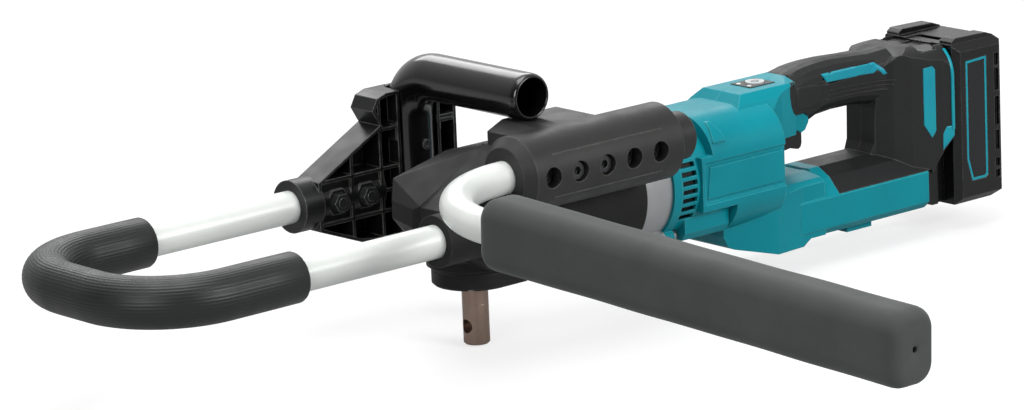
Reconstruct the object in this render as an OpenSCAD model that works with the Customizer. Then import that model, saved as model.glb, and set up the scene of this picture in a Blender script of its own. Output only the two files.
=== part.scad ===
// Battery earth auger: gear head with drive shaft, looped front handle, reaction bar with a
// foam sleeve, brushless motor, rear D handle and slide-on battery. Lengths are millimetres.
// +Z is up, +X runs from the drive shaft to the battery, -Y is the side of the foam sleeve.

/* [Drive shaft] */
// Diameter of the shaft that takes the auger bit
shaft_d = 20; // [19:0.5:21]
// Length of shaft below the bottom plate
shaft_out = 47.5; // [40:0.5:56]
// Diameter of the cross hole for the bit pin
pin_hole_d = 10.5; // [6:0.5:11]
// Height of the cross hole above the shaft end
pin_hole_z = 14.5; // [12:0.5:20]

/* [Gear head] */
// Radius of the round front of the bottom plate
plate_r = 32; // [31:0.5:34]
// Thickness of the bottom plate
plate_t = 12; // [12:0.5:15]
// Height of the motor axis above the bottom plate
axis_rise = 32.5; // [31:0.5:36]
// Outer radius of the gear case barrel
case_r = 44.5; // [43:0.5:46]
// Distance from the drive shaft to the back face of the gear case
case_back = 163; // [160:1:168]
// Wall of the black cover round the gear case
cover_wall = 2.2; // [1.6:0.2:3]
// Width of the bare metal band between cover and motor
case_band = 28; // [20:1:34]

/* [Gear train] */
// Module of the bevel gears
bevel_m = 1.8; // [1.7:0.05:1.85]
// Teeth of the bevel pinion
bevel_pinion_z = 12; // [11:1:12]
// Teeth of the bevel gear on the drive shaft
bevel_gear_z = 25; // [24:1:25]
// Module of the spur gears
spur_m = 0.9; // [0.85:0.01:0.92]
// Teeth on the two gears of each spur stage together
spur_sum = 42; // [40:2:42]
// Teeth of the rotor pinion
rotor_z = 10; // [9:1:11]
// Teeth of the layshaft pinion
lay_z = 13; // [12:1:14]

/* [Front handle] */
// Outside diameter of the bare handle tubes
tube_d = 25; // [24:0.5:26]
// Wall of the handle tubes
tube_wall = 2; // [1.5:0.25:3]
// Distance between the two arms of the front handle
arm_gap = 166; // [160:1:172]
// Sideways offset of the middle of the front handle
arm_shift = 28; // [26:0.5:30]
// Height of the front handle above the motor axis
handle_rise = 11; // [9:0.5:12]
// Distance from the drive shaft to the closed end of the front handle
handle_reach = 340; // [320:5:380]
// Bend radius of the front handle corners
handle_bend = 65; // [55:1:75]
// Diameter of the grip sleeve
grip_d = 38; // [34:1:42]
// Distance from the drive shaft to the near end of the grip sleeve
grip_start = 212; // [200:2:230]
// How much further out the far end of the grip sleeve stops
grip_skew = 9; // [0:1:12]

/* [Reaction bar] */
// Bend radius of the bar
bar_bend = 97; // [90:1:105]
// Droop of the bar about the clamp axis, in degrees
bar_droop = 1.8; // [0:0.1:3]
// Length of the foam sleeve
foam_l = 413; // [380:1:460]
// Height of the foam sleeve
foam_h = 53; // [50:1:60]
// Thickness of the foam sleeve
foam_w = 40; // [36:1:44]
// Corner radius of the foam sleeve
foam_r = 14; // [10:0.5:16]

/* [Bar clamp] */
// Radius of the clamp barrel
clamp_r = 29.5; // [28:0.5:30]
// Sideways distance of the clamp axis from the motor axis
clamp_side = 65; // [64.5:0.5:67]
// Height of the clamp axis above the motor axis
clamp_rise = 49; // [48:0.5:51]
// Length of the clamp barrel
clamp_l = 157; // [150:1:160]
// Spacing of the cross holes in the clamp
clamp_pitch = 26.6; // [25:0.2:27]
// Diameter of the counterbores in the clamp
clamp_cbore = 15.6; // [14.6:0.2:17]
// Size of the clamp bolts
clamp_bolt_d = 8; // [6:0.5:8]

/* [Side bracket and carry tube] */
// Depth of the side bracket
bracket_depth = 26; // [25:0.5:30]
// Thickness of the bracket walls and ribs
rib_t = 2.6; // [2:0.1:3.2]
// Outside diameter of the carry tube
carry_d = 36; // [34:0.5:37]
// Wall of the carry tube
carry_wall = 2.2; // [1.6:0.2:3]
// Distance of the carry tube behind the drive shaft
carry_x = 31; // [30:0.5:32]
// Height of the level leg of the carry tube above the motor axis
carry_rise = 96; // [95.5:0.5:101]
// Bend radius of the carry tube
carry_bend = 34; // [28:0.5:38]
// How far the open end of the carry tube reaches past the motor axis
carry_end = 39; // [34:1:46]

/* [Motor] */
// Outer radius of the motor housing
motor_r = 45.6; // [45:0.2:46]
// Wall of the motor housing
motor_wall = 3; // [2.6:0.1:3.4]
// Length of the motor housing
motor_l = 113; // [112:1:114]
// Number of cooling slots on each side
vent_n = 8; // [5:1:8]
// Number of fan blades
fan_blades = 9; // [5:1:13]

/* [Rear handle] */
// Width of the motor shell
shell_w = 96; // [95:0.5:99]
// Height of the motor shell
shell_h = 97; // [96:0.5:100]
// How far the tabs at the front edge of the shell stand out
tab_proud = 1.4; // [0.8:0.2:2]
// Half width of the grip
grip_half = 18; // [16.5:0.5:20]
// How far the teal stripe stands out of the column
stripe_proud = 0.6; // [0.2:0.1:1]
// Travel of the trigger
trigger_travel = 6; // [4:0.5:6.5]
// Travel of the power button
button_travel = 1; // [0.6:0.1:1.4]

/* [Battery] */
// Width of the battery
battery_w = 84; // [80:1:88]
// Height of the battery
battery_h = 130.5; // [129:0.5:133]
// Depth of the battery behind its shoulder
battery_t = 53.5; // [52:0.5:58]
// Depth of the bare label panels in the battery's sides
label_deep = 0.5; // [0.3:0.1:1]
// Diameter of the battery cells
cell_d = 21.2; // [20.4:0.2:21.4]

/* [Fits] */
// Clearance between parts that are fixed together
seat_gap = 0.1; // [0.05:0.05:0.2]
// Radial clearance of turning shafts in their bearings
run_gap = 0.05; // [0.02:0.01:0.08]
// Clearance round sliding parts
slide_gap = 0.5; // [0.35:0.05:0.6]

/* [Hidden] */
$fn = 64;
shaft_r = shaft_d / 2;
tube_r = tube_d / 2;
plate_z = shaft_out;
plate_top = plate_z + plate_t;
az = plate_top + axis_rise;
// Bearings and seal of the drive shaft
seal_top = plate_top - 9;
collar_r = shaft_r + 1.5;
seat_r = shaft_r - 1;
journal_r = 7.5;
gear_hub_z = plate_top + 2.5;
top_bearing_z = az + 16;
top_bearing_r = 16;
// Bevel gears: the cone tips meet on the motor axis above the drive shaft
bevel_rp1 = bevel_m * bevel_pinion_z / 2;
bevel_rp2 = bevel_m * bevel_gear_z / 2;
bevel_cone = sqrt(bevel_rp1 * bevel_rp1 + bevel_rp2 * bevel_rp2);
bevel_face = 8;
bevel_k = (bevel_cone - bevel_face) / bevel_cone;
bevel_add = atan(0.8 * bevel_m / bevel_cone);
bevel_ded = atan(1.1 * bevel_m / bevel_cone);
bevel_ang1 = atan(bevel_rp1 / bevel_rp2);
bevel_ang2 = 90 - bevel_ang1;
gear_z = az - bevel_rp1;
gear_top = az - bevel_rp1 * bevel_k;
gear_tip = bevel_rp1 * tan(bevel_ang2 + bevel_add);
chamber_r = 24.6;
// Spur stages
lay_dz = spur_m * spur_sum / 2;
lay_gear_z = spur_sum - rotor_z;
pinion_gear_z = spur_sum - lay_z;
wall_x = 108;
plate_x = case_back - 11;
stage2_x = wall_x + 4;
lay_gear_x = wall_x + 26;
// Handle positions
hz = az + handle_rise;
arm_far = arm_shift + arm_gap / 2;
arm_near = arm_shift - arm_gap / 2;
boss_r = tube_r + 7;
boss_x = -82;
clamp_y = -clamp_side;
clamp_z = az + clamp_rise;
clamp_x0 = -22;
clamp_x1 = clamp_x0 + clamp_l;
clamp_hole0 = 1;
// Bracket and carry tube
bracket_y0 = arm_far - 17;
bracket_y1 = bracket_y0 + bracket_depth;
carry_r = carry_d / 2;
carry_z = az + carry_rise;
carry_y = arm_far - 6;
cover_r = case_r + cover_wall;
cover_back = case_back - case_band;
// Motor, shells and rear handle
motor_x0 = case_back;
motor_x1 = motor_x0 + motor_l;
stator_r = motor_r - motor_wall - 0.2;
shell_x0 = motor_x0 + 28;
shell_x1 = motor_x0 + 40;
shell_x2 = motor_x0 + 65;
shell_end = motor_x1 + 3;
motor_screw_at = [[28.5, -39.5], [31.5, 37.2]];
hx = motor_x0 + 153;
hump_x = motor_x0 + 95;
hump_z = az + 55.3;
button_x = motor_x0 + 130.5;
// Battery
bx = motor_x0 + 311;
battery_z0 = az - 71.5;
battery_half = battery_w / 2;
rail_x = bx - 28;
bar_x = clamp_x0 - 1;
foam_start = 8;

// Solid cylinder along X
module cyl_x(r, x0, x1, y = 0, z = 0) {
  translate([x0, y, z]) rotate([0, 90, 0]) cylinder(r = r, h = x1 - x0);
}

// Solid cylinder along Y
module cyl_y(r, y0, y1, x = 0, z = 0) {
  translate([x, y0, z]) rotate([-90, 0, 0]) cylinder(r = r, h = y1 - y0);
}

// Solid cylinder along Z
module cyl_z(r, z0, z1, x = 0, y = 0) {
  translate([x, y, z0]) cylinder(r = r, h = z1 - z0);
}

// Cone along X
module cone_x(r0, r1, x0, x1, y = 0, z = 0) {
  translate([x0, y, z]) rotate([0, 90, 0]) cylinder(r1 = r0, r2 = r1, h = x1 - x0);
}

// Box between two corners
module box(p0, p1) {
  translate(p0) cube(p1 - p0);
}

// Profile in the Y-Z plane drawn out along X
module prism_x(pts, x0, x1) {
  translate([x0, 0, 0]) rotate([90, 0, 90]) linear_extrude(x1 - x0) polygon(pts);
}

// Profile in the X-Z plane drawn out along Y
module prism_y(pts, y0, y1) {
  translate([0, y1, 0]) rotate([90, 0, 0]) linear_extrude(y1 - y0) polygon(pts);
}

// Profile in the X-Y plane drawn out along Z
module prism_z(pts, z0, z1) {
  translate([0, 0, z0]) linear_extrude(z1 - z0) polygon(pts);
}

// Hexagonal prism along Y, given across flats
module hex_y(af, y0, y1, x, z) {
  translate([x, y0, z]) rotate([-90, 0, 0]) cylinder(d = af / cos(30), h = y1 - y0, $fn = 6);
}

// Rectangle with round corners about the origin
module rrect(w, h, r) {
  square([w - 2 * r, h], center = true);
  square([w, h - 2 * r], center = true);
  for (sx = [-1, 1]) {
    for (sy = [-1, 1]) {
      translate([sx * (w / 2 - r), sy * (h / 2 - r)]) circle(r);
    }
  }
}

// Mirrored copy about the middle plane together with the original
module both_sides() {
  children();
  mirror([0, 1, 0]) children();
}

// Half profile [y, z] closed by its mirror image, as a point list
function mirrored(half) = concat(half, [for (i = [len(half) - 1:-1:0]) [-half[i][0], half[i][1]]]);

// Same for a plan profile [x, y]
function mirrored_plan(half) = concat(half, [for (i = [len(half) - 1:-1:0]) [half[i][0], -half[i][1]]]);

// Closed solid through a row of rounded sections [x, z middle, half width, half height, corner]
module loft_x(rows) {
  steps = 4;
  ring = [for (q = [0:3]) for (i = [0:steps]) [q, q * 90 + i * 90 / steps]];
  n = len(ring);
  pts = [for (s = rows) for (p = ring) [
    s[0],
    (p[0] == 0 || p[0] == 3 ? 1 : -1) * (s[2] - s[4]) + s[4] * cos(p[1]),
    s[1] + (p[0] < 2 ? 1 : -1) * (s[3] - s[4]) + s[4] * sin(p[1])]];
  last = len(rows) - 1;
  faces = concat(
    [[for (i = [0:n - 1]) i]],
    [for (k = [0:last - 1]) for (i = [0:n - 1])
      [k * n + i, (k + 1) * n + i, (k + 1) * n + (i + 1) % n, k * n + (i + 1) % n]],
    [[for (i = [n - 1:-1:0]) last * n + i]]);
  polyhedron(points = pts, faces = faces, convexity = 6);
}

// Involute of a pressure angle, in degrees
function inv(a) = tan(a) * 180 / PI - a;

// Half angle of a spur tooth at radius r, thinned for backlash
function half_at(r, z, rb) = 90 / z * 0.86 + inv(20) - (r > rb ? inv(acos(rb / r)) : 0);

// One spur tooth as [radius, angle]
function tooth(z, m) = let(
    rp = m * z / 2, rb = rp * cos(20), ra = rp + 0.8 * m, rf = rp - 1.15 * m, rs = max(rb, rf + 0.1 * m),
    rm = (rs + ra) / 2, root = half_at(rs, z, rb) + 12 / z)
  [[rf, -root], [rs, -half_at(rs, z, rb)], [rm, -half_at(rm, z, rb)], [ra, -half_at(ra, z, rb)],
    [ra, half_at(ra, z, rb)], [rm, half_at(rm, z, rb)], [rs, half_at(rs, z, rb)], [rf, root]];

// Outline of a spur gear
function gear_pts(z, m) = [for (i = [0:z - 1]) for (p = tooth(z, m))
  p[0] * [cos(p[1] + 360 * i / z), sin(p[1] + 360 * i / z)]];

// Spur gear along X with a tooth at the given angle from Y towards Z
module spur_x(z, m, x0, x1, zc, turn) {
  translate([x0, 0, zc]) rotate([90, 0, 90]) linear_extrude(x1 - x0) rotate(turn) polygon(gear_pts(z, m));
}

// Outline of a bevel gear at its large end
function bevel_pts(z, rf, rp, ra) = [for (i = [0:z - 1])
  for (p = [[rf, -0.68], [rp, -0.42], [ra, -0.2], [ra, 0.2], [rp, 0.42], [rf, 0.68]])
    p[0] * [cos((i + p[1] / 2) * 360 / z), sin((i + p[1] / 2) * 360 / z)]];

// Bearing ring about Z with sunk shields
module bearing_z(ro, ri, z0, z1) {
  rm = (ro + ri) / 2;
  w = (ro - ri) / 4;
  translate([0, 0, z0]) rotate_extrude() polygon([[ri, 0], [rm - w, 0], [rm - w, 0.6], [rm + w, 0.6],
    [rm + w, 0], [ro, 0], [ro, z1 - z0], [rm + w, z1 - z0], [rm + w, z1 - z0 - 0.6],
    [rm - w, z1 - z0 - 0.6], [rm - w, z1 - z0], [ri, z1 - z0]]);
}

// The same bearing about an axis along X
module bearing_x(ro, ri, x0, x1, zc) {
  translate([x0, 0, zc]) rotate([0, 90, 0]) bearing_z(ro, ri, 0, x1 - x0);
}

// Drive shaft: chamfered end, seal collar, gear seat and top journal in one turned profile
module drive_shaft() {
  color("rosybrown") difference() {
    rotate_extrude() polygon([[0, 0], [shaft_r - 1.2, 0], [shaft_r, 1.2], [shaft_r, plate_z - 3.5],
      [collar_r, plate_z - 3.2], [collar_r, seal_top], [shaft_r, seal_top], [shaft_r, gear_hub_z],
      [seat_r, gear_hub_z],
      [seat_r, gear_top], [journal_r, gear_top], [journal_r, top_bearing_z + 8.5],
      [journal_r - 0.8, top_bearing_z + 9.3], [0, top_bearing_z + 9.3]]);
    cyl_x(pin_hole_d / 2, -shaft_d, shaft_d, 0, pin_hole_z);
  }
}

// Large bevel gear pressed on the drive shaft
module output_gear() {
  rf = bevel_rp1 * tan(bevel_ang2 - bevel_ded);
  color("silver") difference() {
    union() {
      intersection() {
        translate([0, 0, gear_z]) linear_extrude(gear_top - gear_z, scale = bevel_k)
          polygon(bevel_pts(bevel_gear_z, rf, bevel_rp2, gear_tip));
        cyl_z(chamber_r - 0.6, gear_z - 1, gear_top + 1);
      }
      cyl_z(18.5, gear_z - 6, gear_z);
      cyl_z(14, gear_hub_z, gear_z);
    }
    cyl_z(seat_r + 0.02, gear_hub_z - 1, az);
  }
}

module lower_bearing() {
  color("lightgray") bearing_z(18.5, shaft_r + run_gap, seal_top, plate_top);
}

module upper_bearing() {
  color("lightgray") bearing_z(top_bearing_r, journal_r + run_gap, top_bearing_z, top_bearing_z + 9);
}

// Seal ring round the collar of the drive shaft
module oil_seal() {
  color("dimgray") translate([0, 0, plate_z]) rotate_extrude()
    polygon([[collar_r + run_gap, 0.8], [15.9, 0], [15.9, seal_top - plate_z], [collar_r + run_gap,
      seal_top - plate_z]]);
}

// Bottom plate: round front, straight sides and a chamfered lower edge
module bottom_plate() {
  c = 1.6;
  half = [[0, plate_z], [plate_r - c, plate_z], [plate_r, plate_z + c], [plate_r, plate_top], [0, plate_top]];
  color("#26272a") difference() {
    union() {
      rotate_extrude() polygon(half);
      prism_x(mirrored(half), 0, 25.5);
    }
    box([25.5, -40, plate_z - 1], [40, 40, plate_top + 1]);
    cyl_z(16, plate_z - 1, seal_top + 1);
    cyl_z(18.5 + 0.02, seal_top, plate_top + 1);
    for (p = plate_screw_at) {
      cyl_z(2.2, plate_z - 1, plate_top + 1, p[0], p[1]);
      cyl_z(3.9, plate_z - 1, plate_z + 5, p[0], p[1]);
    }
  }
}
plate_screw_at = [[-19.6, 19.6], [-19.6, -19.6], [19.6, 19.6], [19.6, -19.6]];

// Socket screws that hold the bottom plate
module plate_screws() {
  color("#2a2a2c") for (p = plate_screw_at) {
    difference() {
      union() {
        cyl_z(3.6, plate_z + 0.6, plate_z + 5 - seat_gap, p[0], p[1]);
        cyl_z(2, plate_z + 4, plate_top + 8, p[0], p[1]);
      }
      translate([p[0], p[1], plate_z]) cylinder(d = 3.6, h = 3, $fn = 6);
    }
  }
}

// Die-cast gear case: upright bevel chamber and level barrel
module gear_case() {
  color("#c4c6c8") difference() {
    union() {
      cyl_x(case_r, 28, case_back, 0, az);
      cyl_z(plate_r - 0.5, plate_top, az + 28);
      box([0, 0.5 - plate_r, plate_top], [70, plate_r - 0.5, az]);
      for (s = [-1, 1]) {
        for (p = motor_screw_at) {
          cyl_x(6.5, cover_back + 4, case_back, s * p[0], az + p[1]);
        }
      }
    }
    cyl_z(chamber_r, plate_top - 1, az + 14);
    cyl_z(top_bearing_r + 0.02, az, top_bearing_z + 9.5);
    cyl_x(14, 0, 31, 0, az);
    cyl_x(16 + 0.02, 30, 40, 0, az);
    cyl_x(9, 30, wall_x + 1, 0, az);
    cyl_x(11.5 + 0.02, wall_x - 7, wall_x + 1, 0, az);
    cyl_x(6 + 0.02, wall_x - 8, wall_x + 1, 0, az + lay_dz);
    cyl_x(36.1, wall_x, case_back + 1, 0, az);
    for (p = plate_screw_at) {
      cyl_z(2.1, plate_top - 1, plate_top + 9, p[0], p[1]);
    }
    for (s = [-1, 1]) {
      for (p = motor_screw_at) {
        cyl_x(2.6, case_back - 14, case_back + 1, s * p[0], az + p[1]);
      }
    }
  }
}

// Outer form of the black front cover: nose, ramp to the near boss and barrel
module cover_form() {
  hull() polyhedron_points(nose_pts);
  prism_y([[1.8, clamp_z + 14], [-60, clamp_z - 23], [-60, hz - 6], [-24, plate_top + 9],
    [1.8, plate_top + 9]],
    -48, -14);
  cyl_z(plate_r + 3.5, plate_top + 3, az + 26);
  box([0, -38, plate_top + 3], [70, 38, az + 30]);
  cyl_x(cover_r, 26, cover_back, 0, az);
  translate([0, 0, plate_top]) cylinder(r1 = plate_r, r2 = plate_r + 1.5, h = 3.5);
  box([0, -plate_r - 1, plate_top], [70, plate_r + 1, plate_top + 4]);
  cyl_x(boss_r, boss_x, -18, arm_near, hz);
}

// Corner points of the nose
nose_pts = [[-54, 24, az + 41], [-61, -14, az + 27], [-64, 14, az + 28], [-64, -9, az + 24.5],
  [-63, 16, az + 14], [-63, -6, az + 10], [-44, 32, az + 16], [0, 26, az + 52], [2, -18, az + 62],
  [40, 26, az + 52], [40, -14, az + 55], [-22, 34, plate_top + 8], [-34, 0, plate_top + 8],
  [-30, -30, plate_top + 12], [40, 38, az + 10], [40, -30, plate_top + 8], [40, 36, plate_top + 8]];

// Tiny tetrahedra at the corner points, for a hull
module polyhedron_points(pts) {
  polyhedron(points = concat(pts, []), faces = [for (i = [0:len(pts) - 3]) [i, i + 1, i + 2]]);
}

module gear_cover() {
  color("#2b2c2f") difference() {
    cover_form();
    cyl_x(case_r + seat_gap, 27, cover_back + 1, 0, az);
    cyl_z(plate_r - 0.5 + seat_gap, plate_top - 1, az + 28 + seat_gap);
    box([0, 0.5 - plate_r - seat_gap, plate_top - 1], [70.1, plate_r - 0.5 + seat_gap, az]);
    cyl_x(tube_r + seat_gap, boss_x - 1, -30, arm_near, hz);
    cyl_x(clamp_r + seat_gap, clamp_x0 - 4, clamp_x1, clamp_y, clamp_z);
    box([2 - seat_gap, -80, az + 30], [86, -20 + seat_gap, az + 90]);
    cyl_y(4.1, arm_near - 30, arm_near + 14, -50, hz);
    cyl_y(7.5, arm_near - 30, arm_near - 16, -50, hz);
    hex_y(13.2, arm_near + 14, arm_near + 21, -50, hz);
    cyl_y(carry_r + seat_gap, -60, 60, carry_x, carry_z);
  }
}

// Pinion shaft with the small bevel gear at its front end
module pinion_shaft() {
  rf = bevel_rp2 * tan(bevel_ang1 - bevel_ded);
  ra = bevel_rp2 * tan(bevel_ang1 + bevel_add);
  color("silver") {
    translate([bevel_rp2, 0, az]) rotate([0, -90, 0])
      linear_extrude(bevel_rp2 * (1 - bevel_k), scale = bevel_k) rotate(180 + 180 / bevel_pinion_z)
        polygon(bevel_pts(bevel_pinion_z, rf, bevel_rp1, ra));
    cyl_x(rf * bevel_k - 0.6, bevel_rp2 * bevel_k + 1, 31, 0, az);
    cyl_x(rf - 0.6, bevel_rp2 - 0.9, 31, 0, az);
    cyl_x(journal_r, 30, stage2_x - 1, 0, az);
    cyl_x(journal_r - 0.5, stage2_x - 2, stage2_x + 17, 0, az);
  }
}

// Large gear of the second stage on the pinion shaft
module pinion_gear() {
  color("silver") difference() {
    spur_x(pinion_gear_z, spur_m, stage2_x, stage2_x + 14, az, 90 + 180 / pinion_gear_z);
    cyl_x(journal_r - 0.5 + 0.02, stage2_x - 3, stage2_x + 18, 0, az);
  }
}

module pinion_bearings() {
  color("lightgray") {
    bearing_x(16, journal_r + run_gap, 31, 40, az);
    bearing_x(11.5, journal_r + run_gap, wall_x - 7, wall_x, az);
  }
}

// Layshaft with its pinion
module lay_shaft() {
  color("silver") {
    spur_x(lay_z, spur_m, stage2_x - 2, stage2_x + 16, az + lay_dz, 270);
    cyl_x(4, wall_x - 7, stage2_x, 0, az + lay_dz);
    cyl_x(4, stage2_x + 15, case_back - 2, 0, az + lay_dz);
  }
}

// Large gear of the first stage on the layshaft
module lay_gear() {
  color("silver") difference() {
    spur_x(lay_gear_z, spur_m, lay_gear_x, lay_gear_x + 10, az + lay_dz, 270 + 180 / lay_gear_z);
    cyl_x(4.02, lay_gear_x - 1, lay_gear_x + 11, 0, az + lay_dz);
  }
}

module lay_bushes() {
  color("tan") for (x = [wall_x - 8, plate_x + 2]) {
    difference() {
      cyl_x(6, x, x + 8, 0, az + lay_dz);
      cyl_x(4 + run_gap, x - 1, x + 9, 0, az + lay_dz);
    }
  }
}

// Plate that closes the gear case towards the motor
module end_plate() {
  color("#b9bbbd") difference() {
    cyl_x(36, plate_x, case_back, 0, az);
    cyl_x(11 + 0.02, plate_x + 2, case_back + 1, 0, az);
    cyl_x(6, plate_x - 1, case_back + 1, 0, az);
    cyl_x(6 + 0.02, plate_x + 2, case_back + 1, 0, az + lay_dz);
    cyl_x(5, plate_x - 1, case_back + 1, 0, az + lay_dz);
  }
}

// Barrel that holds the reaction bar, with the block that joins it to the head
module clamp_holder() {
  cz = clamp_z;
  cy = clamp_y;
  color("#2b2c2f") difference() {
    union() {
      cone_x(clamp_r - 7, clamp_r, clamp_x0, clamp_x0 + 8, cy, cz);
      cyl_x(clamp_r, clamp_x0 + 8, clamp_x1 - 4, cy, cz);
      cone_x(clamp_r, clamp_r - 4, clamp_x1 - 4, clamp_x1, cy, cz);
      intersection() {
        prism_y([[2, az + 20], [2, cz + 24], [17, cz + 30.5], [70, cz + 30.5], [83, cz + 26],
          [83, az + 20]], cy - 1, -20);
        prism_x([[cy - 1, cz + clamp_r], [-20, cz + 30.5], [-20, az + 36], [-44, az + 14], [cy - 1, cz - 26]],
          0, 90);
      }
      for (s = [-1, 1]) {
        rotate_about(cy, cz, 90 + s * 33) box([4, cy - 0.5, cz], [112, cy + 0.5, cz + clamp_r + 0.5]);
      }
    }
    cyl_x(tube_r + seat_gap, clamp_x0 - 1, clamp_x1 + 1, cy, cz);
    box([0, -38 - seat_gap, plate_top], [70 + seat_gap, 38, az + 30 + seat_gap]);
    cyl_x(cover_r + seat_gap, -30, 140, 0, az);
    cyl_y(carry_r + seat_gap, -60, 0, carry_x, carry_z);
    for (i = [0:4]) {
      x = clamp_hole0 + i * clamp_pitch;
      cyl_y(clamp_cbore / 2, cy - clamp_r - 5, cy - tube_r - 5, x, cz);
      cyl_y(clamp_bolt_d / 2 + 0.4, cy - tube_r - 6, cy + clamp_r + 1, x, cz);
      hex_y(13.2, cy + tube_r + 6, cy + clamp_r + 2, x, cz);
    }
  }
}

// Turns children about an axis along X through the given point
module rotate_about(y, z, a) {
  translate([0, y, z]) rotate([a, 0, 0]) translate([0, -y, -z]) children();
}

// Stepped plug in the back end of the clamp barrel
module clamp_cap() {
  color("#232427") union() {
    cyl_x(tube_r, clamp_x1 - 11.5, clamp_x1, clamp_y, clamp_z);
    cyl_x(18.5, clamp_x1, clamp_x1 + 18, clamp_y, clamp_z);
    cone_x(18.5, 17, clamp_x1 + 18, clamp_x1 + 20, clamp_y, clamp_z);
  }
}

// Socket-head bolts through the clamp and the bar
module clamp_bolts() {
  y0 = clamp_y - tube_r - 5;
  color("#3c3d40") for (i = [1, 2]) {
    x = clamp_hole0 + i * clamp_pitch;
    difference() {
      union() {
        cyl_y(6.5, y0 - clamp_bolt_d, y0 - seat_gap, x, clamp_z);
        cyl_y(clamp_bolt_d / 2, y0 - 1, clamp_y + tube_r + 14, x, clamp_z);
      }
      hex_y(6, y0 - clamp_bolt_d - 1, y0 - clamp_bolt_d + 4, x, clamp_z);
    }
  }
}

module clamp_nuts() {
  y0 = clamp_y + tube_r + 6 + seat_gap;
  color("#8d8f92") for (i = [1, 2]) {
    x = clamp_hole0 + i * clamp_pitch;
    difference() {
      hex_y(13, y0, y0 + 6.5, x, clamp_z);
      cyl_y(clamp_bolt_d / 2 + 0.02, y0 - 1, y0 + 8, x, clamp_z);
    }
  }
}

// Path of the reaction bar: straight in the clamp, one bend, straight through the foam
module bar_path(r, past = 0) {
  x1 = clamp_x1 - 13;
  translate([0, clamp_y, clamp_z]) rotate([bar_droop, 0, 0]) {
    cyl_x(r, bar_x, x1 + past);
    translate([bar_x, -bar_bend, 0]) rotate(90) rotate_extrude(angle = 90) translate([bar_bend, 0]) circle(r);
    cyl_y(r, -bar_bend - foam_start - foam_l + 22 - past, -bar_bend, bar_x - bar_bend);
  }
}

module reaction_bar() {
  color("#dfe2e4") difference() {
    bar_path(tube_r);
    bar_path(tube_r - tube_wall, 1);
    for (i = [1, 2]) {
      x = clamp_hole0 + i * clamp_pitch;
      cyl_y(clamp_bolt_d / 2 + 0.4, clamp_y - 20, clamp_y + 20, x, clamp_z);
    }
  }
}

// Frame of the straight leg of the bar: local Y runs along the bar towards the bend
module on_bar() {
  translate([0, clamp_y, clamp_z]) rotate([bar_droop, 0, 0]) translate([bar_x - bar_bend, -bar_bend, 0])
    children();
}

// Foam sleeve with rounded long edges and rounded ends
module foam_sleeve() {
  y0 = -foam_start - foam_l;
  color("#3a3d40") on_bar() difference() {
    intersection() {
      translate([0, y0, 0]) rotate([-90, 0, 0]) linear_extrude(foam_l) rrect(foam_w, foam_h, foam_r);
      translate([-foam_w, y0 + foam_l / 2, 0]) rotate([90, 0, 90]) linear_extrude(2 * foam_w)
        rrect(foam_l, foam_h, foam_r);
      translate([0, y0 + foam_l / 2, -foam_h]) linear_extrude(2 * foam_h) rrect(foam_w, foam_l, foam_r);
    }
    cyl_y(tube_r + seat_gap, y0 + 20, y0 + foam_l + 1);
    cyl_y(2.5, y0 - 1, y0 + 30);
  }
}

// Path of the looped front handle from the arm ends to the closed end
module loop_path(r, xn, xf) {
  e = -handle_reach;
  b = handle_bend;
  translate([0, 0, hz]) {
    cyl_x(r, e + b, xn, arm_near);
    cyl_x(r, e + b, xf, arm_far);
    cyl_y(r, arm_near + b, arm_far - b, e);
    translate([e + b, arm_near + b, 0]) rotate(180) rotate_extrude(angle = 90) translate([b, 0]) circle(r);
    translate([e + b, arm_far - b, 0]) rotate(90) rotate_extrude(angle = 90) translate([b, 0]) circle(r);
  }
}

module front_handle() {
  color("#dfe2e4") difference() {
    loop_path(tube_r, -31, -6);
    loop_path(tube_r - tube_wall, -30, -5);
    cyl_y(4.1, arm_near - 20, arm_near + 20, -50, hz);
    for (x = bracket_bolt_x) {
      cyl_y(4.1, arm_far - 20, arm_far + 20, x, hz);
    }
  }
}
bracket_bolt_x = [-50, -22];

// Rubber sleeve round the closed end of the loop
module handle_grip() {
  color("#1f2022") difference() {
    loop_path(grip_d / 2, -grip_start, -grip_start - grip_skew);
    loop_path(tube_r + seat_gap, -grip_start + 1, -grip_start - grip_skew + 1);
  }
}

// Bolt and nut that hold the near arm in its boss
module boss_bolt() {
  y0 = arm_near - 16;
  color("#3c3d40") {
    difference() {
      union() {
        cyl_y(6.5, y0 - 5, y0 - seat_gap, -50, hz);
        cyl_y(4, y0 - 1, arm_near + 20, -50, hz);
        hex_y(13, arm_near + 14 + seat_gap, arm_near + 20, -50, hz);
      }
      hex_y(6, y0 - 6, y0 - 2, -50, hz);
    }
  }
}

// Outline of the side bracket, with its hexagonal shoulder beside the carry tube
bracket_pts = [[-69, hz - 20], [-69, hz + 18], [-7, az + 62], [-14, az + 74], [-9, az + 83], [0, az + 86],
  [60, az + 86], [68, az + 80], [68, az - 30], [20, az - 30], [-30, hz - 35]];
// The same outline one wall further in
pocket_pts = [[-69 + rib_t, hz - 18], [-69 + rib_t, hz + 17], [-7 + rib_t, az + 60.5],
  [-14 + rib_t * 1.2, az + 74], [-9 + rib_t * 0.8, az + 81.4], [rib_t * 0.3, az + 86 - rib_t],
  [60 - rib_t * 0.3, az + 86 - rib_t], [68 - rib_t, az + 79], [68 - rib_t, az - 30 + rib_t],
  [20, az - 30 + rib_t], [-30, hz - 35 + rib_t]];

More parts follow.
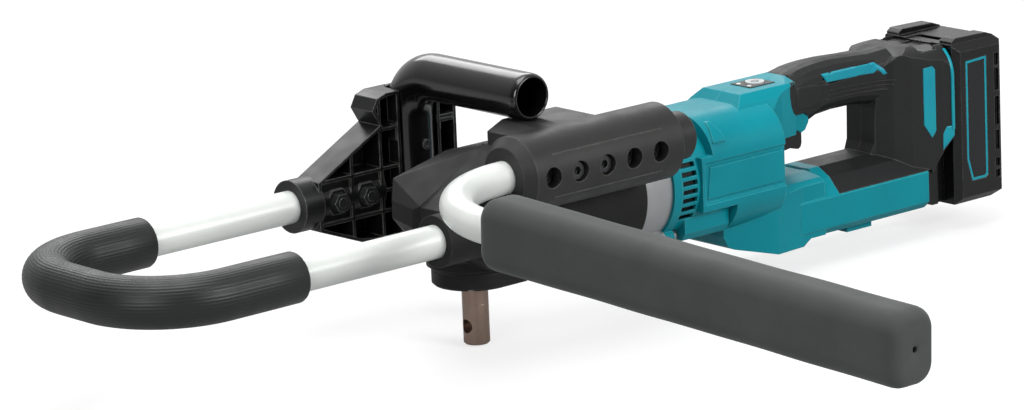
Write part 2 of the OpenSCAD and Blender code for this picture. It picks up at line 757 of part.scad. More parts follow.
// Ribs and the sockets of the handle arm and the carry tube
module bracket_inside() {
  y0 = bracket_y0 + 1;
  y1 = bracket_y1 - 2;
  for (x = [-37, -8]) {
    box([x, y0, az - 40], [x + rib_t, y1, az + 95]);
  }
  for (dz = [-17, 16, 46]) {
    box([-70, y0, hz + dz], [68, y1, hz + dz + rib_t]);
  }
  box([-69, arm_far - tube_r - 1.5, hz - 15.5], [-3, y1, hz + 15.5]);
  for (x = bracket_bolt_x) {
    hex_y(19, y0, arm_far, x, hz);
  }
  box([-60, y0, hz - rib_t / 2], [14, arm_far, hz + rib_t / 2]);
  for (s = [-1, 1]) {
    w = carry_r + 0.4;
    translate([carry_x, 0, 0]) prism_z([[s * w, bracket_y0], [s * (w + rib_t), bracket_y0],
      [s * (w + rib_t), y1], [s * w, y1]], az - 28, az + 85);
    prism_y([[carry_x + s * w, az + 44], [carry_x + s * (w + 4), az + 49], [carry_x + s * (w + 4), az + 60],
      [carry_x + s * w, az + 65]], y0, y1);
  }
  box([carry_x - carry_r - 1, carry_y, az - 30], [carry_x + carry_r + 1, y1, az + 86]);
  box([carry_x - carry_r - 1, y0, az - 30], [carry_x + carry_r + 1, y1, az - 6]);
  box([carry_x + carry_r, y0, az + 54], [68, y1, az + 54 + rib_t]);
}

module side_bracket() {
  color("#1d1e20") difference() {
    union() {
      difference() {
        prism_y(bracket_pts, bracket_y0, bracket_y1);
        prism_y(pocket_pts, bracket_y0 - 1, bracket_y1 - 4);
      }
      intersection() {
        prism_y(bracket_pts, bracket_y0, bracket_y1);
        bracket_inside();
      }
      cyl_x(boss_r + 0.8, boss_x - 2, -66, arm_far, hz);
      cyl_x(tube_r + 4, -67, -3, arm_far, hz);
      intersection() {
        cyl_z(carry_r + 3.5, az - 10, az + 84, carry_x, carry_y);
        box([-20, carry_y, 0], [80, 200, 300]);
      }
      box([22, 30, az - 28], [66, bracket_y0 + 4, az + 6]);
    }
    cyl_x(tube_r + seat_gap, boss_x - 3, -5, arm_far, hz);
    cyl_z(carry_r + seat_gap, az - 5.5, az + 95, carry_x, carry_y);
    box([carry_x - carry_r - seat_gap, bracket_y0 - 2, az - 5.5],
      [carry_x + carry_r + seat_gap, carry_y, az + 95]);
    cyl_x(cover_r + seat_gap, 0, 100, 0, az);
    box([0, -39, plate_top - 1], [71, 38 + seat_gap, az + 32]);
    cyl_y(2.1, carry_y, carry_y + carry_r + 5, carry_x, az + 42);
    for (x = bracket_bolt_x) {
      cyl_y(4.1, bracket_y0 - 2, arm_far + 25, x, hz);
      hex_y(13.2, bracket_y0 - 2, bracket_y0 + 2, x, hz);
      cyl_y(7, arm_far + tube_r + 1.5, arm_far + 30, x, hz);
    }
  }
}

// Bolts through the bracket and the far arm, heads on the far side
module bracket_bolts() {
  color("#3c3d40") for (x = bracket_bolt_x) {
    difference() {
      union() {
        cyl_y(6.5, arm_far + tube_r + 1.5 + seat_gap, arm_far + tube_r + 7, x, hz);
        cyl_y(4, bracket_y0 - 5, arm_far + tube_r + 3, x, hz);
      }
      hex_y(6, arm_far + tube_r + 4, arm_far + tube_r + 8, x, hz);
    }
  }
}

module bracket_nuts() {
  y1 = bracket_y0 + 2 - seat_gap;
  color("#55575a") for (x = bracket_bolt_x) {
    difference() {
      hex_y(13, y1 - 6.5, y1, x, hz);
      cyl_y(4.02, y1 - 8, y1 + 1, x, hz);
    }
  }
}

// Path of the carry tube: upright leg, bend, level leg
module carry_path(r, past = 0) {
  b = carry_bend;
  cyl_z(r, az - 5 - past, carry_z - b, carry_x, carry_y);
  translate([carry_x, carry_y - b, carry_z - b]) rotate([90, 0, 90]) rotate_extrude(angle = 90)
    translate([b, 0]) circle(r);
  cyl_y(r, -carry_end - past, carry_y - b, carry_x, carry_z);
}

module carry_tube() {
  color("#0d0d0e") difference() {
    carry_path(carry_r);
    carry_path(carry_r - carry_wall, 1);
    cyl_y(2.6, carry_y - carry_r - 1, carry_y + carry_r + 1, carry_x, az + 42);
  }
}

// Screw that pins the carry tube in the bracket
module carry_screw() {
  y0 = carry_y - carry_r;
  color("#2a2a2c") difference() {
    union() {
      cyl_y(4, y0 - 2, y0 - seat_gap, carry_x, az + 42);
      cyl_y(2, y0 - 1, carry_y + carry_r + 4, carry_x, az + 42);
    }
    hex_y(3, y0 - 3, y0 - 0.8, carry_x, az + 42);
  }
}

// Motor housing: barrel with front flange, cooling slots, screw ledges and a back wall
module motor_housing() {
  ri = motor_r - motor_wall;
  color("#0b8a94") difference() {
    union() {
      cyl_x(motor_r, motor_x0, motor_x1, 0, az);
      cyl_x(motor_r + 1.4, motor_x0, motor_x0 + 8, 0, az);
      for (s = [-1, 1]) {
        for (p = motor_screw_at) {
          cyl_x(6.5, motor_x0, motor_x0 + 9, s * p[0], az + p[1]);
        }
        prism_x([[s * 20, az - 30], [s * 20, az - 44], [s * 33, az - 44], [s * 37, az - 38],
          [s * 37, az - 26]], motor_x0 + 18, shell_x2 - 1);
      }
    }
    cyl_x(ri, motor_x0 - 1, motor_x1 - 6, 0, az);
    cyl_x(11 + 0.02, motor_x1 - 15, motor_x1 - 3, 0, az);
    for (s = [-1, 1]) {
      for (i = [0:vent_n - 1]) {
        z = az + (i - (vent_n - 1) / 2) * 6.8;
        prism_x([[s * 30, z - 2], [s * 60, z - 2], [s * 60, z + 2], [s * 30, z + 2]], motor_x0 + 10,
          motor_x0 + 25);
      }
      for (p = motor_screw_at) {
        cyl_x(2.7, motor_x0 - 1, motor_x0 + 12, s * p[0], az + p[1]);
        cyl_x(4.6, motor_x0 + 9, motor_x0 + 17, s * p[0], az + p[1]);
      }
    }
  }
}

// Screws through the motor flange into the gear case
module motor_screws() {
  color("#8d8f92") for (s = [-1, 1]) {
    for (p = motor_screw_at) {
      difference() {
        union() {
          cyl_x(4.2, motor_x0 + 9 + seat_gap, motor_x0 + 13, s * p[0], az + p[1]);
          cyl_x(2.5, motor_x0 - 12, motor_x0 + 10, s * p[0], az + p[1]);
        }
        translate([motor_x0 + 10.5, s * p[0], az + p[1]]) rotate([0, 90, 0])
          cylinder(d = 4.6, h = 4, $fn = 6);
      }
    }
  }
}

// Stator ring with wound teeth
module stator() {
  color("#a8622e") difference() {
    cyl_x(stator_r, motor_x0 + 42, motor_x0 + 90, 0, az);
    cyl_x(19.2, motor_x0 + 41, motor_x0 + 91, 0, az);
    for (i = [0:5]) {
      rotate_about(0, az, i * 60 + 30) box([motor_x0 + 41, -2.2, az + 18], [motor_x0 + 91, 2.2, az + 34]);
    }
  }
}

// Rotor: magnet core, shaft and the pinion cut on its front end
module rotor() {
  color("#9a9c9f") {
    spur_x(rotor_z, spur_m, lay_gear_x - 2, lay_gear_x + 13, az, 90);
    cyl_x(3.4, lay_gear_x + 12, plate_x + 2, 0, az);
    cyl_x(4, plate_x + 1, motor_x1 - 7.5, 0, az);
    cyl_x(18.6, motor_x0 + 43, motor_x0 + 89, 0, az);
  }
}

// Cooling fan on the rotor shaft
module fan() {
  color("#202123") difference() {
    union() {
      cyl_x(9, motor_x0 + 13, motor_x0 + 26, 0, az);
      cyl_x(38, motor_x0 + 24, motor_x0 + 26, 0, az);
      for (i = [0:fan_blades - 1]) {
        rotate_about(0, az, i * 360 / fan_blades)
          box([motor_x0 + 14, -0.8, az + 6], [motor_x0 + 25, 0.8, az + 37]);
      }
    }
    cyl_x(4.02, motor_x0 + 10, motor_x0 + 30, 0, az);
  }
}

module rotor_bearings() {
  color("lightgray") {
    bearing_x(11, 4 + run_gap, plate_x + 2.5, plate_x + 9.5, az);
    bearing_x(11, 4 + run_gap, motor_x1 - 14, motor_x1 - 7, az);
  }
}

// Frame of the power button: origin on its axis at the top of the hump
module on_hump() {
  translate([button_x, 0, hump_z]) children();
}

// Plan outline of the neck and foot, half
neck_half = [[motor_x0 + 55, 27], [motor_x0 + 70, 29], [motor_x0 + 113, 40], [motor_x0 + 146, 36],
  [motor_x0 + 170, 36]];
// Side outline of the neck and foot
neck_pts = [[motor_x0 + 66, az - 24], [motor_x0 + 66, az - 52], [motor_x0 + 70, az - 60],
  [motor_x0 + 76, az - 63], [motor_x0 + 113, az - 72.5], [motor_x0 + 144, az - 73], [motor_x0 + 152, az - 68],
  [motor_x0 + 168, az - 68], [motor_x0 + 168, az - 19.5], [motor_x0 + 90, az - 19.5]];
// Section of the neck, half
neck_top = [[0, az - 80], [48, az - 80], [48, az - 34], [32, az - 22], [16, az - 19.5], [0, az - 19.5]];
// Section of the lower bar, half
bar_half = [[0, az - 68.5], [32, az - 68.5], [37, az - 63], [37, az - 39], [25, az - 26], [13, az - 19.5],
  [0, az - 19.5]];
// Black top of the lower bar, half
skin_half = [[0, az - 24], [11, az - 24], [23, az - 30.5], [30, az - 38.2], [38, az - 38.2], [38, az - 10],
  [0, az - 10]];
skin_x0 = motor_x0 + 184;
bar_x1 = rail_x + 2;

// Teal body: motor wrap with hump, neck, foot and lower bar
module shell_form() {
  intersection() {
    translate([shell_x0, 0, az]) rotate([90, 0, 90]) linear_extrude(130) rrect(shell_w, shell_h, 34);
    prism_y([[shell_x0, az - 22], [shell_x2, az - 22], [shell_x2, az - 60], [shell_end, az - 60],
      [shell_end, az + 60], [shell_x1, az + 60], [shell_x1, az + 21], [shell_x0, az + 21]], -60, 60);
  }
  intersection() {
    prism_y([[hump_x - 16, az + 38], [hump_x - 10, az + 46], [hump_x, hump_z], [hx - 10, hump_z],
      [hx, az + 58.5], [hx, az + 13], [shell_end - 3, az + 13], [hump_x - 16, az + 20]], -40, 40);
    prism_x(mirrored([[32, az], [31, az + 40], [27, az + 48], [21, az + 55], [10, az + 58.5]]),
      hump_x - 20, hx);
    prism_z(mirrored_plan([[hump_x - 20, 33], [shell_end, 33], [hx - 18, 25], [hx, 21.5]]), az, az + 80);
  }
  intersection() {
    prism_y(neck_pts, -48, 48);
    prism_z(mirrored_plan(neck_half), az - 80, az + 10);
    prism_x(mirrored(neck_top), motor_x0, hx + 100);
  }
  intersection() {
    prism_x(mirrored(bar_half), motor_x0 + 140, rail_x + 2);
    prism_y([[motor_x0 + 140, az - 80], [rail_x - 6, az - 80], [rail_x + 2, az - 60], [rail_x + 2, az],
      [motor_x0 + 190, az], [motor_x0 + 168, az - 26], [motor_x0 + 140, az - 18]], -40, 40);
  }
  box([motor_x0 + 203, -24, az - 75], [motor_x0 + 230, 24, az - 67]);
  prism_y(shroud_pts, -18, 18);
  both_sides() intersection() {
    prism_y([[shell_x1 + 2, az + 30], [shell_x1 + 6, az + 44], [shell_x1 + 10, az + 44],
      [shell_x1 + 15, az + 34], [shell_x1 + 15, az + 30]], 20, 60);
    translate([shell_x1, 0, az]) rotate([90, 0, 90]) linear_extrude(20)
      rrect(shell_w + tab_proud * 2, shell_h + tab_proud * 2, 34 + tab_proud);
  }
}

// Teal guard that hangs round the trigger
shroud_pts = [[shell_end - 3, az + 13], [hx - 14, az + 13], [hx - 9, az + 15], [hx + 5, az + 15],
  [hx + 9, az + 12.5], [hx + 13, az + 14], [hx + 17, az + 20], [hx + 16.5, az + 24], [hx + 12, az + 28],
  [shell_end - 3, az + 28]];

// Well that guides the trigger, with a wider top for its flange
module trigger_pocket() {
  g = slide_gap;
  box([hx - 13 - g, -10 - g, az - 20], [hx + 16.5 + g, 10 + g, az + 46]);
  box([hx - 16 - g, -12.5 - g, az + 30], [hx + 18.5 + g, 12.5 + g, az + 46]);
}

// Everything that is cut out of the teal body
module shell_cuts() {
  cyl_x(motor_r + seat_gap, 0, motor_x1 + seat_gap, 0, az);
  for (s = [-1, 1]) {
    prism_x([[s * 19.9, az - 30], [s * 19.9, az - 44.1], [s * 33, az - 44.1], [s * 37.1, az - 38],
      [s * 37.1, az - 26]], motor_x0 + 17, shell_x2 - 0.9);
    prism_x([[s * 46.4, az - 15], [s * 46.4, az + 15], [s * 60, az + 28.6], [s * 60, az - 28.6]],
      shell_x0 + 3, motor_x0 + 123);
  }
  trigger_pocket();
  prism_x(mirrored(skin_half), skin_x0, rail_x + 5);
  on_hump() box([-15.5, -11.4, -1.6], [11, 11.4, 3]);
  on_hump() cyl_z(8.4, -6, 2);
  box([motor_x0 + 158, -27, az - 62], [motor_x0 + 246, 27, az - 40]);
  box([rail_x - 10, -25.1, az - 30], [rail_x + 1, 25.1, az]);
  box([rail_x - 0.6, -60, az - 100], [bx + 10, 60, az + 100]);
}

module shell_right() {
  color("#0b8a94") intersection() {
    difference() {
      shell_form();
      shell_cuts();
    }
    box([0, -60, -20], [500, -0.05, 300]);
  }
}

module shell_left() {
  color("#0b8a94") intersection() {
    difference() {
      shell_form();
      shell_cuts();
    }
    box([0, 0.05, -20], [500, 60, 300]);
  }
}

// Black plate on the hump that carries the power button
module control_panel() {
  color("#141516") on_hump() difference() {
    box([seat_gap - 15.5, seat_gap - 11.4, -1.6 + seat_gap], [11 - seat_gap, 11.4 - seat_gap, 0.6]);
    cyl_z(8, -4, 4);
  }
}

module power_button() {
  color("#d8dadc") on_hump() difference() {
    cyl_z(7.5, -3.4, 1.7);
    cyl_z(5.2, 1.3, 3);
  }
}

// Sections of the grip from the motor to the column
grip_rows = [[hx, az + 36, 21, 22.5, 15], [hx + 14, az + 38.2, 20, 23.7, 15],
  [hx + 22, az + 39.9, 19.5, 23, 15],
  [hx + 32, az + 42, grip_half + 1, 21.6, 15], [hx + 50, az + 42.6, grip_half, 21.2, 15],
  [hx + 74, az + 41.7, grip_half, 20.6, 15], [hx + 92, az + 40, grip_half + 1.5, 21.3, 15],
  [hx + 108, az + 38.5, 24, 25, 16]];
// Side outline of the column
column_pts = [[hx + 90, az - 36], [hx + 86, az - 22], [hx + 91, az - 12], [hx + 92, az + 16],
  [hx + 98, az + 50], [hx + 107, az + 57], [hx + 122, az + 61.5], [hx + 140, az + 62.5], [hx + 156, az + 61],
  [hx + 156, az - 14], [hx + 140, az - 34], [hx + 130, az - 48]];
// Plan outline of the column, half
column_half = [[hx + 84, 14], [hx + 92, 16], [hx + 104, 25], [hx + 118, 32], [hx + 134, 36], [hx + 148, 37.5],
  [hx + 156, 41]];

// Black rear handle: grip, column and the top of the lower bar
module handle_form() {
  loft_x(grip_rows);
  intersection() {
    prism_y(column_pts, -44, 44);
    prism_z(mirrored_plan(column_half), az - 60, az + 80);
    translate([hx + 70, 0, az + 2.5]) rotate([90, 0, 90]) linear_extrude(100) rrect(82, 120, 27);
  }
  intersection() {
    prism_x(mirrored(bar_half), skin_x0 + seat_gap, rail_x + 2);
    prism_x(mirrored([for (p = skin_half) [p[0], p[1] + seat_gap]]), skin_x0, rail_x + 2);
  }
}

// Channel that guides the battery rails
module battery_channel() {
  g = slide_gap;
  prism_z(mirrored_plan([[rail_x - g, 29.5 + g], [rail_x + 17 + g, 29.5 + g], [rail_x + 17 + g, 26 + g],
    [bx + 20, 26 + g]]), az - 100, az + 100);
}

// Everything that is cut out of the black handle
module handle_cuts() {
  battery_channel();
  prism_y([[hx - 40, az + 5], [hx + 13.1, az + 5], [hx + 17.1, az + 20], [hx + 16.6, az + 24.1],
    [hx + 12.1, az + 28.1], [hx - 40, az + 28.1]], -30, 30);
  trigger_pocket();
  box([hx + 1, -12.1, az + 45], [hx + 62, 12.1, az + 58.1]);
  box([rail_x - 10, -25.1, az - 30], [rail_x + 1, 25.1, az + 50]);
  prism_x(mirrored([[0, az - 90], [60, az - 90], [60, az - 38.1], [30, az - 38.1], [23, az - 30.4],
    [11, az - 23.9], [0, az - 23.9]]), hx + 60, rail_x + 5);
  inlay_forms(seat_gap);
}

// Teal strips let into the grip and the column
module inlay_forms(g) {
  both_sides() {
    prism_y([[hx + 32 - g, az + 46 - g], [hx + 34 - g, az + 54 + g], [hx + 86, az + 55 + g],
      [hx + 94 + g, az + 48], [hx + 94 + g, az + 45 - g], [hx + 84, az + 50 - g], [hx + 78, az + 47 - g]],
      grip_half - 2 - g, grip_half + 0.6);
    intersection() {
      prism_y([[hx + 128 - g, az - 1], [hx + 135, az - 12 - g], [hx + 139 + g, az - 7],
        [hx + 139 + g, az + 43], [hx + 136, az + 46 + g], [hx + 128 - g, az + 45 + g]], 32 - g, 44);
      prism_z(mirrored_plan([for (p = column_half) [p[0], p[1] + stripe_proud]]), az - 60, az + 80);
    }
  }
}

module handle_right() {
  color("#242528") intersection() {
    difference() {
      handle_form();
      handle_cuts();
    }
    box([0, -60, -20], [500, -0.05, 300]);
  }
}

module handle_left() {
  color("#242528") intersection() {
    difference() {
      handle_form();
      handle_cuts();
    }
    box([0, 0.05, -20], [500, 60, 300]);
  }
}

module grip_inlays() {
  color("#0b8a94") intersection() {
    inlay_forms(0);
    box([0, -60, 0], [hx + 100, 60, 300]);
  }
}

module column_inlays() {
  color("#0b8a94") intersection() {
    inlay_forms(0);
    box([hx + 110, -60, 0], [hx + 300, 60, 300]);
  }
}

// Trigger with a finger hollow and a flange that keeps it in its pocket
module trigger() {
  color("#18191a") union() {
    prism_y([[hx - 13, az + 32], [hx - 13, az - 2], [hx - 8, az - 3.5], [hx - 2, az - 1.2],
      [hx + 4, az - 0.4], [hx + 9, az - 1.8], [hx + 13, az - 2.6], [hx + 15.5, az - 1], [hx + 16.5, az + 2],
      [hx + 16.5, az + 32]], -10, 10);
    box([hx - 16, -12.5, az + 30.6], [hx + 18.5, 12.5, az + 38.5]);
  }
}

module switch_unit() {
  color("#2f3033") union() {
    box([hx + 2, -12, az + 46.4], [hx + 61.9, 12, az + 58]);
  }
}

// Motor controller in the lower bar
module controller() {
  color("#5d6166") union() {
    box([motor_x0 + 160, -26.9, az - 61.9], [motor_x0 + 244, 26.9, az - 46]);
    for (i = [0:8]) {
      box([motor_x0 + 164 + i * 9, -24, az - 47], [motor_x0 + 167 + i * 9, 24, az - 40.4]);
    }
  }
}

// Terminal block with its contact blades
module terminal_block() {
  color("#3a3b3e") union() {
    box([rail_x - 9.9, -25, az - 29.9], [rail_x - slide_gap, 25, az + 49.9]);
    for (y = [-14, -5, 5, 14]) {
      box([rail_x - 2, y - 0.5, az - 28], [rail_x + 8, y + 0.5, az - 8]);
    }
  }
}

// Slots along the rear edges of the battery case, bottom and top of each
battery_slots = [[15.5, 22], [24, 31.5], [38, 54.2], [58.3, 82], [87, 105.3], [107.3, 117.5]];

// Outer battery case with chamfered edges, a bare label panel on each side and slots along the rear edges
module battery_case() {
  z0 = battery_z0;
  z1 = z0 + battery_h;
  h = battery_half;
  color("#17181a") difference() {
    union() {
      intersection() {
        prism_z(mirrored_plan([[bx, h - 5], [bx + 5, h], [bx + battery_t - 4, h], [bx + battery_t, h - 4]]),
          z0, z1);
        prism_y([[bx, z0], [bx + battery_t - 12, z0], [bx + battery_t, z0 + 7], [bx + battery_t, z1 - 4],
          [bx + battery_t - 4, z1], [bx, z1]], -h, h);
        prism_x(mirrored([[h - 5, z0], [h, z0 + 5], [h, z1 - 6], [h - 6, z1]]), bx, bx + battery_t);
      }
      both_sides() prism_y([[bx + 1, z1 - 6], [bx + 1, z1 + 2], [bx + 5, z1 + 4.8], [bx + 40, z1 + 4],
        [bx + battery_t - 5, z1 + 1], [bx + battery_t - 5, z1 - 6]], 23, 36);
    }
    box([bx + 3, 6 - h, z0 + 6], [bx + battery_t - 3, h - 6, z1 - 11.6]);
    both_sides() {
      prism_y([[bx + 10.5, z1 - 14], [bx + 34.5, z1 - 13], [bx + 34.5, z0 + 20], [bx + 31.5, z0 + 17.5],
        [bx + 16, z0 + 17.5], [bx + 10.5, z0 + 36]], h - label_deep, h + 1);
      for (s = battery_slots) {
        box([bx + battery_t - 10.5, h - 3, z0 + s[0]], [bx + battery_t - 5.5, h + 1, z0 + s[1]]);
      }
    }
    box([bx - 1, -14, z1 - 10], [bx + 17, 14, z1 + 1]);
    box([bx - 1, -8.6, z1 - 10], [bx + 5, 8.6, z1 + 1]);
  }
}

// Rail side of the battery with contact slots
module battery_cover() {
  z0 = battery_z0;
  z1 = z0 + battery_h;
  color("#1b1c1e") difference() {
    intersection() {
      prism_z(mirrored_plan([[rail_x, 29.5], [rail_x + 17, 29.5], [rail_x + 17, 26], [bx - 0.02, 26]]),
        z0 + 2, z1 - 2);
      prism_y([[rail_x, z0 + 14], [rail_x + 10, z0 + 2], [bx, z0 + 2], [bx, z1 - 2], [rail_x + 6, z1 - 2],
        [rail_x, z1 - 8]], -40, 40);
    }
    for (y = [-14, -5, 5, 14]) {
      box([rail_x - 1, y - 1.4, z0], [rail_x + 9, y + 1.4, az - 6]);
    }
    box([rail_x - 1, -8.6, z1 - 9], [bx + 1, 8.6, z1]);
  }
}

// Round cells in two rows, as many as the case has room for, held by two frames
module battery_cells() {
  pitch = cell_d + 1;
  room = battery_h - 17.6;
  rows = floor(room / pitch);
  x1 = bx + battery_t / 2 - pitch / 2;
  z0 = battery_z0 + 6;
  zc = room / 2 - (rows - 1) / 2 * pitch;
  color("#3f6f86") {
    for (i = [0:rows - 1]) {
      for (k = [0:1]) {
        cyl_y(cell_d / 2, -35, 35, x1 + k * pitch, z0 + zc + i * pitch);
      }
    }
    for (y = [-30, 26]) {
      box([bx + 3 + seat_gap, y, z0 + seat_gap],
        [bx + battery_t - 3 - seat_gap, y + 4, z0 + room - seat_gap]);
    }
  }
}

// Latch button at the top of the battery, drawn back to free it
module battery_latch() {
  z1 = battery_z0 + battery_h;
  color("#101112") union() {
    box([bx + 1, -13.4, z1 - 9.4], [bx + 12, 13.4, z1 - 1]);
    box([rail_x + 0.5, -8, z1 - 8.4], [bx + 3, 8, z1 - 3]);
  }
}

drive_shaft();
output_gear();
lower_bearing();
upper_bearing();
oil_seal();
bottom_plate();
plate_screws();
gear_case();
gear_cover();
pinion_shaft();
pinion_gear();
pinion_bearings();
lay_shaft();
lay_gear();
lay_bushes();
end_plate();
clamp_holder();
clamp_cap();
clamp_bolts();
clamp_nuts();
reaction_bar();
foam_sleeve();
front_handle();
handle_grip();
boss_bolt();
side_bracket();
bracket_bolts();
bracket_nuts();
carry_tube();
carry_screw();
motor_housing();
motor_screws();
stator();
rotor();
fan();
rotor_bearings();
shell_right();
shell_left();
control_panel();
power_button();
handle_right();
handle_left();
grip_inlays();
column_inlays();
trigger();
switch_unit();
controller();
terminal_block();
battery_case();
battery_cover();
battery_cells();
battery_latch();
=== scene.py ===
"""Dresses the packed earth auger head with its finishes, soft sleeves and trims, on a pale studio floor."""

import logging
import math
from dataclasses import dataclass
from enum import Enum
from typing import Iterable, Optional, Sequence, Union

import bmesh
import bpy
from mathutils import Matrix, Vector
from mathutils.bvhtree import BVHTree


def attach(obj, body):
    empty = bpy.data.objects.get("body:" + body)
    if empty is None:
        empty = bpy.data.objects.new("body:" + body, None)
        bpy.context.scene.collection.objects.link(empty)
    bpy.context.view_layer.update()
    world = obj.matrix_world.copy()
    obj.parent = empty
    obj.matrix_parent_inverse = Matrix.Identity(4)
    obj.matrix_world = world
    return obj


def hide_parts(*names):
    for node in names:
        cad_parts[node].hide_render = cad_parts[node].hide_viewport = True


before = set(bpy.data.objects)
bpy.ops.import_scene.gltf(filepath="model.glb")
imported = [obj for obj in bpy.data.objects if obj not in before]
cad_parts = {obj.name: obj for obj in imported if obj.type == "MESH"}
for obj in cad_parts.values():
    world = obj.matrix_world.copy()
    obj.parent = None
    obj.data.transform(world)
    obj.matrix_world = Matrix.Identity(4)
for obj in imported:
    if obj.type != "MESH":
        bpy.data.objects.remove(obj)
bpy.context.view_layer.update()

LOG = logging.getLogger("auger")
MM = 0.001
ROUND = 64
WHITE = (1.0, 1.0, 1.0, 1.0)

Rgb = tuple[float, float, float]
Flat = tuple[float, float]
Xyz = tuple[float, float, float]
Outline = Sequence[Flat]
Station = tuple[Vector, Vector, float, float]
Shape = tuple[list, list]
Socket = bpy.types.NodeSocket
Value = Union[Socket, float, Sequence[float]]


def tone(code: str) -> Rgb:
    """Turns a written colour into the linear values that a shader takes.

    Args:
        code: Six hexadecimal digits, as a colour chart gives them.

    Returns:
        Linear red, green and blue.
    """
    parts = [int(code[i:i + 2], 16) / 255 for i in (0, 2, 4)]
    return tuple(c / 12.92 if c <= 0.04045 else ((c + 0.055) / 1.055) ** 2.4 for c in parts)


class Side(Enum):
    """The two sides of the tool, by the sign of Y."""

    NEAR = -1
    FAR = 1

    @property
    def word(self) -> str:
        """Gives the side's word in the names of pieces."""
        return self.name.lower()

    @property
    def half(self) -> str:
        """Gives the word of the moulded halves on this side."""
        return "right" if self is Side.NEAR else "left"


class Relief(Enum):
    """Fine surface forms that a finish can carry."""

    MOULDED = "eroded mould texture"
    SATIN = "smooth painted skin"
    FOAM = "closed foam cells"
    RUBBER = "matt rubber skin"
    CAST = "cast and blasted metal"
    TURNED = "lines turned round an upright axis"
    WOUND = "wound wire"


